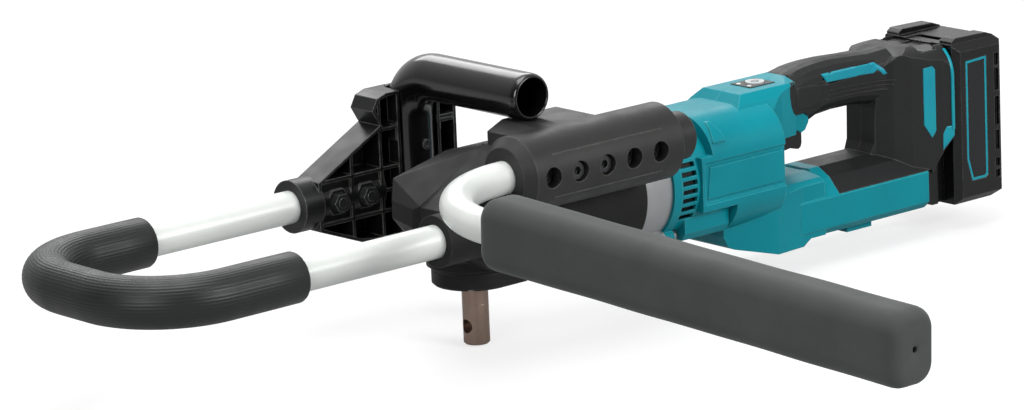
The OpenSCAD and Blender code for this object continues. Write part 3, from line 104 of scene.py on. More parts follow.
class Graph:
    """The node graph of a material or a world, with short ways to add the nodes used here."""

    edge_samples: int = 6
    edge_span: Flat = (0.995, 0.86)

    def __init__(self, owner: "bpy.types.Material | bpy.types.World") -> None:
        """Starts an empty graph.

        Args:
            owner: Material or world that gets it.
        """
        self.owner = owner
        owner.use_nodes = True
        self.tree = owner.node_tree
        self.tree.nodes.clear()
        self.coords = self.add("TexCoord").outputs

    def feed(self, value: Value, target: Socket) -> None:
        """Links a socket to a target, or sets the target to a constant.

        Args:
            value: The socket or the constant.
            target: Input that takes it.
        """
        if isinstance(value, Socket):
            self.tree.links.new(value, target)
        else:
            target.default_value = value

    def add(self, kind: str, **inputs: Value) -> bpy.types.Node:
        """Adds a node and feeds its named inputs.

        Args:
            kind: Type of the node, without its Shader Node prefix.
            **inputs: Sockets or constants for inputs, by name.

        Returns:
            The new node.
        """
        node = self.tree.nodes.new("ShaderNode" + kind)
        for key, value in inputs.items():
            self.feed(value, node.inputs[key])
        return node

    def _sum(self, kind: str, how: str, a: Value, b: Value) -> bpy.types.NodeOutputs:
        """Joins two values or two vectors by a named sum.

        Args:
            kind: Type of the node, for values or for vectors.
            how: Name of the sum, such as MULTIPLY.
            a: First value.
            b: Second value.

        Returns:
            The outputs of the node.
        """
        node = self.add(kind)
        node.operation = how
        self.feed(a, node.inputs[0])
        self.feed(b, node.inputs[1])
        return node.outputs

    def combine(self, how: str, a: Socket, b: Value) -> Socket:
        """Joins two values by a named sum, such as ADD."""
        return self._sum("Math", how, a, b)[0]

    def vector(self, how: str, a: Socket, b: Value = (0, 0, 0)) -> bpy.types.NodeOutputs:
        """Joins two vectors by a named sum, such as LENGTH, and gives its outputs Vector and Value."""
        return self._sum("VectorMath", how, a, b)

    def place(self, stretch: Xyz = (1, 1, 1)) -> Socket:
        """Gives the coordinates of the piece, stretched by a factor for each axis."""
        return self.vector("MULTIPLY", self.coords["Object"], stretch)["Vector"]

    def noise(self, size_mm: float, detail: float, stretch: Xyz = (1, 1, 1)) -> Socket:
        """Adds cloudy noise of a size, with a number of finer layers; its values are about 0.3 to 0.7."""
        return self.add("TexNoise", Vector=self.place(stretch), Scale=1 / (size_mm * MM), Detail=detail).outputs[0]

    def cells(self, size_mm: float) -> Socket:
        """Adds round cells of a size, and gives the distance from their middles."""
        return self.add("TexVoronoi", Vector=self.place(), Scale=1 / (size_mm * MM)).outputs["Distance"]

    def span(self, value: Socket, source: Flat, target: Flat = (0, 1)) -> Socket:
        """Maps a value from one span to another, and keeps it there.

        Args:
            value: The value to map.
            source: Lowest and highest value that comes in.
            target: What these two become.

        Returns:
            The mapped value.
        """
        keys = ("Value", "From Min", "From Max", "To Min", "To Max")
        return self.add("MapRange", **dict(zip(keys, (value, *source, *target)))).outputs[0]

    def mix(self, share: Socket, a: Value, b: Value) -> Socket:
        """Mixes two values or two colours.

        Args:
            share: How much of the second one counts.
            a: First value or colour.
            b: Second value or colour; a written colour makes it a mix of colours.

        Returns:
            The mixed value or colour.
        """
        node = self.add("Mix")
        first, second, out = 2, 3, 0
        if isinstance(b, tuple):
            node.data_type = "RGBA"
            first, second, out = 6, 7, 2
        for value, slot in ((share, 0), (a, first), (b, second)):
            self.feed((*value, 1) if isinstance(value, tuple) else value, node.inputs[slot])
        return node.outputs[out]

    def edge(self, radius_mm: float) -> tuple[Socket, Socket]:
        """Rounds the shading of edges and finds them.

        Args:
            radius_mm: Radius of the rounding.

        Returns:
            The rounded normal, and a value that is 1 on edges and 0 on flats.
        """
        bevel = self.add("Bevel", Radius=radius_mm * MM)
        bevel.samples = self.edge_samples
        flat = self.add("NewGeometry").outputs["Normal"]
        alike = self.vector("DOT_PRODUCT", bevel.outputs[0], flat)["Value"]
        return bevel.outputs[0], self.span(alike, self.edge_span)

    def bump(self, height: Socket, strength: float, depth_mm: float, normal: Socket) -> Socket:
        """Lays bumps of a height, a strength and a full depth on a normal."""
        return self.add("Bump", Height=height, Strength=strength, Distance=depth_mm * MM, Normal=normal).outputs[0]

    def rays(self) -> tuple[Socket, Socket]:
        """Tells apart the rays that arrive.

        Returns:
            1 for rays from the camera or through a clear surface, and 1 for rays from a glossy one.
        """
        path = self.add("LightPath").outputs
        return self.combine("MAXIMUM", path["Is Camera Ray"], path["Is Transmission Ray"]), path["Is Glossy Ray"]

    def surface(self, values: dict[str, Value]) -> None:
        """Ends the graph of a material in a shader that takes values by the names of its inputs."""
        self.add("OutputMaterial", Surface=self.add("BsdfPrincipled", **values).outputs[0])


@dataclass(frozen=True)
class Finish:
    """A surface finish: two tones in soft clouds, a spread of gloss, a fine relief, and lighter edges that are partly
    wear and partly painted highlight.
    """

    name: str
    colour: str
    second: str
    rough: Flat
    relief: Relief
    grain_mm: float = 0.5
    grain: float = 0.3
    depth_mm: float = 0.06
    cloud_mm: float = 45.0
    metal: float = 0.0
    wear_and_highlight_colour: Optional[str] = None
    wear_and_highlight_share: float = 0.0
    edge_mm: float = 0.3
    coat: float = 0.0
    coat_rough: float = 0.1
    level: float = 0.5
    sheen: float = 0.0

    def height(self, g: Graph) -> Socket:
        """Gives the height of the fine relief.

        Args:
            g: Graph of the material.

        Returns:
            The height, 0 to 1.
        """
        s = self.grain_mm
        if self.relief is Relief.FOAM:
            return g.combine("ADD", g.combine("MULTIPLY", g.cells(s), 0.7), g.noise(s * 5, 3))
        if self.relief is Relief.TURNED:
            return g.noise(s, 2, (0.03, 0.03, 1))
        if self.relief is Relief.WOUND:
            whole_turn = 6.28
            wire = g.add("TexWave", Vector=g.coords["Object"], Scale=1 / (s * MM) / whole_turn, Distortion=0.6)
            wire.bands_direction = "X"
            return wire.outputs[1]
        if self.relief is Relief.RUBBER:
            return g.combine("ADD", g.noise(s, 2), g.noise(s * 12, 2))
        if self.relief is Relief.CAST:
            return g.combine("ADD", g.noise(s, 4), g.noise(s * 6, 2))
        return g.noise(s, 3)

    def material(self) -> bpy.types.Material:
        """Makes the material once and gives the same one after that.

        Returns:
            The material of this finish.
        """
        found = bpy.data.materials.get(self.name)
        if found is not None:
            return found
        cloud_span, edge_mark_span, gloss_span = (0.36, 0.64), (0.32, 0.64), (0.34, 0.66)
        edge_mark_mm, least_edge_mark, gloss_share = 9, 0.3, 0.4
        g = Graph(bpy.data.materials.new(self.name))
        clouds = g.span(g.noise(self.cloud_mm, 4), cloud_span)
        colour = g.mix(clouds, tone(self.colour), tone(self.second))
        normal, edges = g.edge(self.edge_mm)
        # Lighter colour in patches on rounded edges: partly edge wear, partly painted highlight where light would
        # catch the edges.
        if self.wear_and_highlight_colour is not None:
            wear_and_highlight_mask = g.span(g.noise(edge_mark_mm, 4), edge_mark_span, (least_edge_mark * self.wear_and_highlight_share, self.wear_and_highlight_share))
            colour = g.mix(g.combine("MULTIPLY", edges, wear_and_highlight_mask), colour, tone(self.wear_and_highlight_colour))
        g.surface({
            "Base Color": colour,
            "Roughness": g.span(g.noise(self.cloud_mm * gloss_share, 3), gloss_span, self.rough),
            "Normal": g.bump(self.height(g), self.grain, self.depth_mm, normal),
            "Metallic": self.metal,
            "Coat Weight": self.coat,
            "Coat Roughness": self.coat_rough,
            "Specular IOR Level": self.level,
            "Sheen Weight": self.sheen,
        })
        g.owner.diffuse_color = (*tone(self.colour), 1)
        return g.owner


class Finishes:
    """The finishes of this tool."""

    # The lighter edge colour of each finish is partly wear and partly painted highlight.
    TEAL = Finish("teal_moulding", "00828f", "008895", (0.34, 0.44), Relief.MOULDED, 0.45, 0.16,
                  wear_and_highlight_colour="55bac3", wear_and_highlight_share=0.8, edge_mm=1.3, level=0.2)
    TEAL_TRIM = Finish("teal_trim", "0a93a0", "0489a0", (0.3, 0.4), Relief.SATIN, 2.0, 0.1,
                       wear_and_highlight_colour="58bcc4", wear_and_highlight_share=0.5, edge_mm=0.4, level=0.35)
    COVER = Finish("charcoal_cover", "161716", "131413", (0.48, 0.6), Relief.MOULDED, 0.5, 0.34,
                   wear_and_highlight_colour="4c4d4a", wear_and_highlight_share=0.8, edge_mm=1.4, level=0.24)
    CLAMP = Finish("charcoal_clamp", "202120", "1c1d1c", (0.42, 0.54), Relief.MOULDED, 0.45, 0.3,
                   wear_and_highlight_colour="62635f", wear_and_highlight_share=0.8, edge_mm=1.3, level=0.42)
    BRACKET = Finish("black_bracket", "111212", "0e0f0f", (0.3, 0.42), Relief.MOULDED, 0.6, 0.12,
                     wear_and_highlight_colour="6c6d6a", wear_and_highlight_share=1.0, edge_mm=1.5, level=0.4)
    TUBE = Finish("white_tube", "e2e5e2", "dce0dd", (0.3, 0.38), Relief.SATIN, 3.0, 0.06, metal=0.15,
                  wear_and_highlight_colour="eceeec", wear_and_highlight_share=0.3, edge_mm=0.4, coat=0.15, coat_rough=0.3)
    GLOSS = Finish("black_gloss_tube", "0c0c0d", "0f0f10", (0.16, 0.24), Relief.SATIN, 4.0, 0.08,
                   wear_and_highlight_colour="3a3a3a", wear_and_highlight_share=0.2, edge_mm=0.6, coat=0.4, coat_rough=0.12)
    FOAM = Finish("dark_foam", "464948", "404342", (0.82, 0.92), Relief.FOAM, 0.7, 0.55, 0.16, 60,
                  wear_and_highlight_colour="5c5f5d", wear_and_highlight_share=0.5, edge_mm=3.0, sheen=0.12, level=0.25)
    RUBBER = Finish("black_rubber", "1e2020", "1a1c1c", (0.4, 0.48), Relief.RUBBER, 0.4, 0.3,
                    wear_and_highlight_colour="4a4b4c", wear_and_highlight_share=0.4, edge_mm=0.5, level=0.4)
    ELASTOMER = Finish("black_elastomer", "161718", "121314", (0.44, 0.58), Relief.RUBBER, 0.35, 0.32,
                       wear_and_highlight_colour="54534f", wear_and_highlight_share=0.8, edge_mm=1.3, level=0.35)
    BATTERY = Finish("black_battery", "0a0b0b", "080909", (0.26, 0.34), Relief.MOULDED, 0.6, 0.12,
                     wear_and_highlight_colour="565755", wear_and_highlight_share=0.9, edge_mm=1.4, level=0.4)
    BARE = Finish("bare_panel", "141618", "111315", (0.24, 0.3), Relief.SATIN, 5.0, 0.05,
                  wear_and_highlight_colour="2c2e30", wear_and_highlight_share=0.2, level=0.4)
    PANEL = Finish("panel_black", "121314", "0f1011", (0.3, 0.38), Relief.SATIN, 2.0, 0.1,
                   wear_and_highlight_colour="3a3b3c", wear_and_highlight_share=0.3, edge_mm=0.4, level=0.4)
    BUTTON = Finish("button_grey", "c9ccce", "c2c6c8", (0.34, 0.42), Relief.SATIN, 2.0, 0.1,
                    wear_and_highlight_colour="e2e4e4", wear_and_highlight_share=0.3, edge_mm=0.4)
    LENS = Finish("lens_white", "e6e8e6", "dfe2e0", (0.14, 0.2), Relief.SATIN, 3.0, 0.05)
    CASE = Finish("cast_silver", "a9abac", "a0a2a3", (0.36, 0.46), Relief.CAST, 0.6, 0.3, metal=0.55,
                  wear_and_highlight_colour="c9cbcb", wear_and_highlight_share=0.5, edge_mm=0.8)
    SHAFT = Finish("tinted_steel", "a08a7d", "917c70", (0.26, 0.38), Relief.TURNED, 0.25, 0.35, 0.03, metal=0.9,
                   wear_and_highlight_colour="b8a9a0", wear_and_highlight_share=0.6, edge_mm=0.5)
    STEEL = Finish("bright_steel", "8e9092", "858789", (0.28, 0.4), Relief.SATIN, 0.6, 0.2, metal=0.9,
                   wear_and_highlight_colour="b4b6b6", wear_and_highlight_share=0.5)
    OXIDE = Finish("black_oxide", "464748", "3c3d3e", (0.26, 0.36), Relief.SATIN, 0.8, 0.25, metal=0.6,
                   wear_and_highlight_colour="8c8d8d", wear_and_highlight_share=1.0, edge_mm=0.8)
    GEAR = Finish("oiled_gear", "75726c", "6a665e", (0.24, 0.36), Relief.CAST, 0.5, 0.2, metal=0.9,
                  wear_and_highlight_colour="a3a29c", wear_and_highlight_share=0.5)
    BRONZE = Finish("sintered_bronze", "8d6b45", "7e5e3b", (0.4, 0.52), Relief.CAST, 0.4, 0.3, metal=0.8,
                    wear_and_highlight_colour="b08c60", wear_and_highlight_share=0.4)
    WINDING = Finish("dark_winding", "3a2418", "2c1c14", (0.4, 0.5), Relief.WOUND, 1.1, 0.5, 0.3, metal=0.4,
                     wear_and_highlight_colour="6a4024", wear_and_highlight_share=0.5)
    INNER = Finish("inner_plastic", "1c1d1e", "171819", (0.5, 0.6), Relief.MOULDED, 0.7, 0.2,
                   wear_and_highlight_colour="3c3d3d", wear_and_highlight_share=0.3, edge_mm=0.4, level=0.3)
    CELL = Finish("cell_sleeve", "2f5f78", "28536a", (0.3, 0.4), Relief.SATIN, 2.0, 0.1,
                  wear_and_highlight_colour="5b8aa0", wear_and_highlight_share=0.3)


def make_piece(name: str, shape: Shape, finish: Finish, body: str = "frame", smooth: bool = True,
               sharp: float = 35.0) -> bpy.types.Object:
    """Makes a mesh piece that rides on a body.

    Args:
        name: Name of the piece.
        shape: Its corners, in millimetres, and its faces.
        finish: Finish of its surface.
        body: Body of the frame that it moves with.
        smooth: Whether it is shaded smooth.
        sharp: Angle above which an edge stays sharp, in degrees.

    Returns:
        The piece.
    """
    points, faces = shape
    mesh = bpy.data.meshes.new(name)
    mesh.from_pydata([Vector(p) * MM for p in points], [], faces)
    work = bmesh.new()
    work.from_mesh(mesh)
    bmesh.ops.remove_doubles(work, verts=work.verts, dist=1e-7)
    bmesh.ops.recalc_face_normals(work, faces=work.faces)
    work.to_mesh(mesh)
    work.free()
    if smooth:
        mesh.shade_smooth()
        mesh.set_sharp_from_angle(angle=math.radians(sharp))
    mesh.materials.append(finish.material())
    piece = bpy.data.objects.new(name, mesh)
    bpy.context.collection.objects.link(piece)
    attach(piece, body)
    LOG.info("piece %s: %d faces on %s", name, len(mesh.polygons), body)
    return piece


def dress(finish: Finish, *nodes: str) -> None:
    """Gives a finish to nodes of the frame that are shown as they are.

    Args:
        finish: The finish.
        *nodes: Names of the nodes.
    """
    for name in nodes:
        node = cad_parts[name]
        node.data.materials.clear()
        node.data.materials.append(finish.material())
        LOG.info("node %s: %s", name, finish.name)


def rounded_path(corners: Sequence[Xyz], radius: float, step: float) -> list[tuple[Vector, Vector]]:
    """Follows straight runs with round bends between them.

    Args:
        corners: Ends of the path and the corners where its runs would meet, in millimetres.
        radius: Radius of the bends.
        step: Longest distance between points in a bend; straight runs take six times that.

    Returns:
        Points along the path, each with its direction.
    """
    at = [Vector(c) for c in corners]
    row: list[tuple[Vector, Vector]] = []
    long_step, least_turns = step * 6, 4
    start = at[0]
    for i in range(1, len(at)):
        way = (at[i] - at[i - 1]).normalized()
        last = i == len(at) - 1
        end = at[i] if last else at[i] - way * radius
        count = max(1, int((end - start).length / long_step))
        row += [(start.lerp(end, k / count), way) for k in range(count + 1)]
        if last:
            break
        turn = (at[i + 1] - at[i]).normalized()
        middle = end + turn * radius
        count = max(least_turns, int(radius * math.pi / 2 / step))
        for k in range(1, count):
            a = k / count * math.pi / 2
            row.append((middle - turn * radius * math.cos(a) + way * radius * math.sin(a),
                        way * math.cos(a) + turn * math.sin(a)))
        start = middle + way * radius
    return row


def lofted(rows: Sequence[Sequence], ring: bool = False) -> Shape:
    """Joins closed rows of points by faces.

    Args:
        rows: Rows with the same number of points.
        ring: Whether the last row joins the first; otherwise caps close both ends.

    Returns:
        Corners and faces.
    """
    total, count = len(rows), len(rows[0])
    faces = [(n * count + k, n * count + (k + 1) % count, (n + 1) % total * count + (k + 1) % count,
              (n + 1) % total * count + k) for n in range(total if ring else total - 1) for k in range(count)]
    if not ring:
        faces += [tuple(range(count)), tuple((total - 1) * count + k for k in range(count))]
    return [p for row in rows for p in row], faces


def swept(stations: Iterable[Station], across: Xyz, sides: int, ribs: int = 0) -> Shape:
    """Makes a closed ring of round sections, such as a hollow tube with lips.

    Args:
        stations: Middle, direction, radius and height of the ribs of each section; the last one joins the first.
        across: Direction that lies across the whole path.
        sides: Corners of each section.
        ribs: Number of lengthwise ribs.

    Returns:
        Corners and faces.
    """
    b = Vector(across)
    turns = [2 * math.pi * k / sides for k in range(sides)]
    rows = []
    for middle, way, radius, rib in stations:
        c = b.cross(way).normalized()
        rows.append([middle + (b * math.cos(a) + c * math.sin(a)) * (radius + rib * math.cos(ribs * a))
                     for a in turns])
    return lofted(rows, ring=True)


def turned(profile: Iterable[Flat], origin: Xyz, axis: Xyz, sides: int, ring: bool = False) -> Shape:
    """Turns a profile round an axis.

    Args:
        profile: Distance along the axis and radius of each point.
        origin: Point on the axis, in millimetres.
        axis: Direction of the axis.
        sides: Corners of each circle.
        ring: Whether the last point joins the first; otherwise the ends are closed by caps.

    Returns:
        Corners and faces.
    """
    way = Vector(axis).normalized()
    u = way.orthogonal().normalized()
    v = way.cross(u)
    turns = [2 * math.pi * k / sides for k in range(sides)]
    rows = [[Vector(origin) + way * t + (u * math.cos(a) + v * math.sin(a)) * r for a in turns] for t, r in profile]
    return lofted(rows, ring)


def shrunk(outline: Outline, by: float) -> list[Flat]:
    """Moves every edge of a closed outline inwards.

    Args:
        outline: Corners of the outline, in order.
        by: How far the edges move.

    Returns:
        Corners of the smaller outline.
    """
    area = sum(a[0] * b[1] - b[0] * a[1] for a, b in zip(outline, [*outline[1:], outline[0]]))
    turn = 1 if area > 0 else -1
    sharpest = 0.3
    count = len(outline)
    moved = []
    for i in range(count):
        p, q, r = Vector(outline[i - 1]), Vector(outline[i]), Vector(outline[(i + 1) % count])
        d1, d2 = (q - p).normalized(), (r - q).normalized()
        n1, n2 = Vector((-d1.y, d1.x)) * turn, Vector((-d2.y, d2.x)) * turn
        half = (n1 + n2).normalized()
        moved.append(tuple(q + half * (by / max(sharpest, half.dot(n1)))))
    return moved


def near_plate(outline: Outline, low: float, high: float, bevel: float, hole: Optional[Outline] = None) -> Shape:
    """Makes a flat plate with bevelled edges on the near side of the tool.

    Args:
        outline: Corners of the plate in X and Z.
        low: Distance of its back from the middle plane.
        high: Distance of its face from the middle plane.
        bevel: Width of the bevel round its face.
        hole: Corners of an opening with as many corners as the outline.

    Returns:
        Corners and faces.
    """
    levels = [(outline, low), (outline, high - bevel), (shrunk(outline, bevel), high)]
    if hole is not None:
        levels += [(shrunk(hole, -bevel), high), (hole, high - bevel), (hole, low)]
    return lofted([[(x, Side.NEAR.value * y, z) for x, z in row] for row, y in levels], ring=hole is not None)


@dataclass(frozen=True)
class Sheet:
    """A thin sheet on a curved side: how far it stands out and goes in, its facets and its sloping rim."""

    proud: float
    deep: float
    grid: float
    bevel: float


class Skin:
    """The outer surface of some nodes, on which thin pieces are laid."""

    away_y: float = 0.2
    rim_start: float = 0.15

    def __init__(self, *nodes: str) -> None:
        """Takes the surface of the named nodes.

        Args:
            *nodes: Names of nodes of the frame.
        """
        points: list[Vector] = []
        faces: list[tuple[int, ...]] = []
        for name in nodes:
            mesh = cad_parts[name].data
            start = len(points)
            points += [v.co.copy() for v in mesh.vertices]
            faces += [tuple(start + i for i in f.vertices) for f in mesh.polygons]
        self.tree = BVHTree.FromPolygons(points, faces)

    def hit(self, x: float, z: float, side: Side) -> tuple[Vector, Vector]:
        """Finds the surface at a place, seen from one side.

        Args:
            x: Place along the tool, in millimetres.
            z: Height, in millimetres.
            side: Side it is seen from.

        Returns:
            Point on the surface, in millimetres, and its outward direction.
        """
        s = side.value
        place, normal, _, _ = self.tree.ray_cast(Vector((x * MM, s * self.away_y, z * MM)), Vector((0, -s, 0)))
        if place is None:
            raise ValueError(f"nothing at X {x}, Z {z}")
        return place / MM, -normal if normal.y * s < 0 else normal

    def patch(self, outline: Outline, side: Side, sheet: Sheet) -> Shape:
        """Lays a thin sheet with a closed outline on the surface.

        Args:
            outline: Corners in X and Z.
            side: Side of the tool.
            sheet: Measures of the sheet.

        Returns:
            Corners and faces.
        """
        work = bmesh.new()
        rim, inner = ([work.verts.new((x, 0, z)) for x, z in row] for row in (outline, shrunk(outline, sheet.bevel)))
        for k in range(len(rim)):
            j = (k + 1) % len(rim)
            work.faces.new((rim[k], rim[j], inner[j], inner[k]))
        work.faces.new(inner)
        for axis, values in ((0, [p[0] for p in outline]), (2, [p[1] for p in outline])):
            for k in range(1, int((max(values) - min(values)) / sheet.grid) + 1):
                at, way = Vector(), Vector()
                at[axis], way[axis] = min(values) + k * sheet.grid, 1.0
                bmesh.ops.bisect_plane(work, geom=work.verts[:] + work.edges[:] + work.faces[:], dist=1e-5,
                                       plane_co=at, plane_no=way)
        bmesh.ops.triangulate(work, faces=work.faces[:])
        work.verts.index_update()
        corners = [Vector(p) for p in outline]
        edges = [(a, b - a) for a, b in zip(corners[-1:] + corners[:-1], corners)]
        top, under = [], []
        for vert in work.verts:
            flat = Vector((vert.co.x, vert.co.z))
            place, normal = self.hit(*flat, side)
            away = min(self._distance(flat, *edge) for edge in edges)
            top.append(place + normal * sheet.proud * min(1.0, self.rim_start + away / sheet.bevel))
            under.append(place - normal * sheet.deep)
        count = len(top)
        faces = [tuple(v.index for v in f.verts) for f in work.faces]
        walls = [(e.verts[0].index, e.verts[1].index) for e in work.edges if e.is_boundary]
        work.free()
        faces += [tuple(count + i for i in reversed(f)) for f in faces]
        faces += [(a, b, count + b, count + a) for a, b in walls]
        return top + under, faces

    @staticmethod
    def _distance(p: Vector, a: Vector, way: Vector) -> float:
        """Gives the distance of a point from an edge that leads from a corner along a way."""
        t = max(0.0, min(1.0, (p - a).dot(way) / max(1e-9, way.length_squared)))
        return (a + way * t - p).length


def screw_on(name: str, skin: Skin, x: float, z: float, side: Side, radius: float = 4.0) -> None:
    """Sets a pan-head screw with a round socket on a surface, in a dark seat.

    Args:
        name: Name of the piece.
        skin: Surface that carries it.
        x: Place along the tool, in millimetres.
        z: Height, in millimetres.
        side: Side of the tool.
        radius: Radius of the seat.
    """
    seat = ((-1.0, 0.0), (0.12, 0.0), (0.3, 0.4), (0.12, 0.8), (-0.6, 1.0))
    head = ((-0.9, 1.1), (0.0, 1.1), (0.35, 1.5), (0.42, 2.3), (-0.3, 2.4))
    socket_floor = (-0.5, 0.4)
    place, normal = skin.hit(x, z, side)
    shape = turned([(up, radius - drop) for up, drop in seat], place, normal, sides=40)
    make_piece(name + "_seat", shape, Finishes.INNER)
    shape = turned([*((up, radius - drop) for up, drop in head), socket_floor], place, normal, sides=30)
    make_piece(name, shape, Finishes.OXIDE)


@dataclass
class FrontLoop:
    """The looped front handle: painted tube, ribbed rubber sleeve and the bolt in its boss."""

    reach: float = -340.0
    near_y: float = -55.0
    far_y: float = 111.0
    height: float = 103.0
    bend: float = 65.0
    near_end: float = -212.0
    far_end: float = -221.0
    radius: float = 19.0
    bore: float = 12.55
    ribs: int = 48
    rib: float = 0.13
    step: float = 4.0
    mouth: float = 1.2
    lip: Outline = ((0.0, 3.2), (0.1, 1.6), (0.7, 0.6), (2.0, 0.0))

    def sleeve(self) -> None:
        """Builds the rubber sleeve with fine lengthwise ribs and rounded lips."""
        z, r = self.height, self.radius - self.rib
        row = rounded_path([(self.near_end, self.near_y, z), (self.reach, self.near_y, z),
                            (self.reach, self.far_y, z), (self.far_end, self.far_y, z)], self.bend, self.step)
        (start, out), (end, back) = row[0], row[-1]
        stations: list[Station] = [(start + out * along, out, r - drop, 0.0) for along, drop in self.lip]
        stations += [(place, way, r, self.rib) for place, way in row[1:-1]]
        stations += [(end - back * along, back, r - drop, 0.0) for along, drop in reversed(self.lip)]
        stations.append((end - back * self.mouth, back, self.bore, 0.0))
        stations += [(place, way, self.bore, 0.0) for place, way in reversed(row[1:-1:3])]
        stations.append((start + out * self.mouth, out, self.bore, 0.0))
        piece = make_piece("loop_sleeve", swept(stations, (0, 0, 1), self.ribs * 4, self.ribs), Finishes.RUBBER,
                           sharp=80)
        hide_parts("handle_grip")

    def build(self) -> None:
        """Builds the sleeve and dresses the tube."""
        self.sleeve()
        dress(Finishes.TUBE, "front_handle")
        dress(Finishes.OXIDE, "boss_bolt")


@dataclass
class ReactionBar:
    """The reaction bar with its foam sleeve, clamp and clamp bolts."""

    pivot: Xyz = (0.0, -65.0, 141.0)
    droop: float = 1.8
    leg: Xyz = (-120.0, -97.0, 0.0)
    near: float = -8.0
    far: float = -421.0
    width: float = 40.0
    tall: float = 53.0
    corner: float = 14.0
    corner_least: float = 3.0
    corner_share: float = 0.55
    corner_room: float = 0.5
    corner_points: int = 18
    end_round: float = 11.0
    end_share: float = 0.75
    end_rows: int = 7
    rows: int = 40
    waist: float = 0.35
    ripple: float = 0.18
    ripple_turns: Flat = (23.0, 7.0)
    end_hole: Outline = ((14.0, 1.92), (1.0, 2.4), (0.1, 4.6), (0.0, 11.0))
    bar_mouth: Outline = ((0.0, 15.2), (0.8, 13.1), (3.0, 12.7), (20.0, 12.7))

    def place(self) -> Matrix:
        """Gives the frame of the bar's straight leg, in millimetres."""
        return (Matrix.Translation(self.pivot) @ Matrix.Rotation(math.radians(self.droop), 4, "X")
                @ Matrix.Translation(self.leg))

    def section(self, inset: float) -> list[Flat]:
        """Gives the rounded section of the sleeve, pulled in all round.

        Args:
            inset: How far it is pulled in.

        Returns:
            Points in X and Z.
        """
        w, t = self.width / 2 - inset, self.tall / 2 - inset
        r = max(self.corner_least, self.corner - inset * self.corner_share)
        r = min(r, w - self.corner_room, t - self.corner_room)
        row = []
        for q, (sx, sz) in enumerate(((1, 1), (-1, 1), (-1, -1), (1, -1))):
            for k in range(self.corner_points):
                a = math.pi / 2 * (q + k / (self.corner_points - 1))
                row.append((sx * (w - r) + r * math.cos(a), sz * (t - r) + r * math.sin(a)))
        return row

    def end_inset(self, share: float) -> float:
        """Gives how far the section pulls in at a share of the rounding, from the end (0) to the side (1)."""
        return self.end_round * (1 - math.sqrt(max(0.0, 1 - (1 - share) ** 2))) * self.end_share

    def foam(self) -> None:
        """Builds the foam sleeve: crowned ends, a soft waist, the hole in its end and the mouth for the bar."""
        at = self.place()
        ends = [(k / (self.end_rows - 1)) ** 2 for k in range(self.end_rows)]
        insets: list[Flat] = [(self.far + self.end_round * a, self.end_inset(a)) for a in ends]
        straight = self.near - self.far - 2 * self.end_round
        first, second = self.ripple_turns
        for k in range(1, self.rows):
            t = k / self.rows
            ripple = self.ripple * math.sin(t * first) * math.sin(t * second)
            insets.append((self.far + self.end_round + straight * t, self.waist * math.sin(math.pi * t) + ripple))
        insets += [(self.near - self.end_round * a, self.end_inset(a)) for a in reversed(ends)]
        turns = [math.atan2(z, x) for x, z in self.section(0.0)]
        circles = [[(self.far + deep, r) for deep, r in self.end_hole],
                   [(self.near - deep, r) for deep, r in self.bar_mouth]]
        far_end, near_end = ([[at @ Vector((r * math.cos(a), y, r * math.sin(a))) for a in turns] for y, r in row]
                             for row in circles)
        body = [[at @ Vector((x, y, z)) for x, z in self.section(inset)] for y, inset in insets]
        piece = make_piece("bar_foam", lofted(far_end + body + near_end), Finishes.FOAM, sharp=60)
        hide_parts("foam_sleeve")

    def build(self) -> None:
        """Builds the foam and dresses the bar and its clamp."""
        self.foam()
        dress(Finishes.TUBE, "reaction_bar")
        dress(Finishes.CLAMP, "clamp_holder", "clamp_cap")
        dress(Finishes.OXIDE, "clamp_bolts")
        dress(Finishes.STEEL, "clamp_nuts")


@dataclass
class GearHead:
    """The gear head: cover, cast case, bottom plate, drive shaft and the gear train inside."""

    shaft_r: float = 10.0
    mark_z: float = 31.0
    mark: Outline = ((-0.35, -0.2), (-0.2, 0.06), (0.2, 0.06), (0.35, -0.2))

    def shaft_line(self) -> None:
        """Builds the fine ring that marks how far a bit goes on the shaft."""
        profile = [(self.mark_z + up, self.shaft_r + out) for up, out in self.mark]
        make_piece("shaft_line", turned(profile, (0, 0, 0), (0, 0, 1), ROUND, ring=True), Finishes.SHAFT, "spindle")

    def build(self) -> None:
        """Builds the line on the shaft and dresses the nodes."""
        self.shaft_line()
        dress(Finishes.COVER, "gear_cover", "bottom_plate")
        dress(Finishes.CASE, "gear_case", "end_plate")
        dress(Finishes.SHAFT, "drive_shaft")
        dress(Finishes.GEAR, "output_gear", "pinion_shaft", "pinion_gear", "lay_shaft", "lay_gear")
        dress(Finishes.STEEL, "lower_bearing", "upper_bearing", "pinion_bearings", "plate_screws")
        dress(Finishes.BRONZE, "lay_bushes")
        dress(Finishes.RUBBER, "oil_seal")


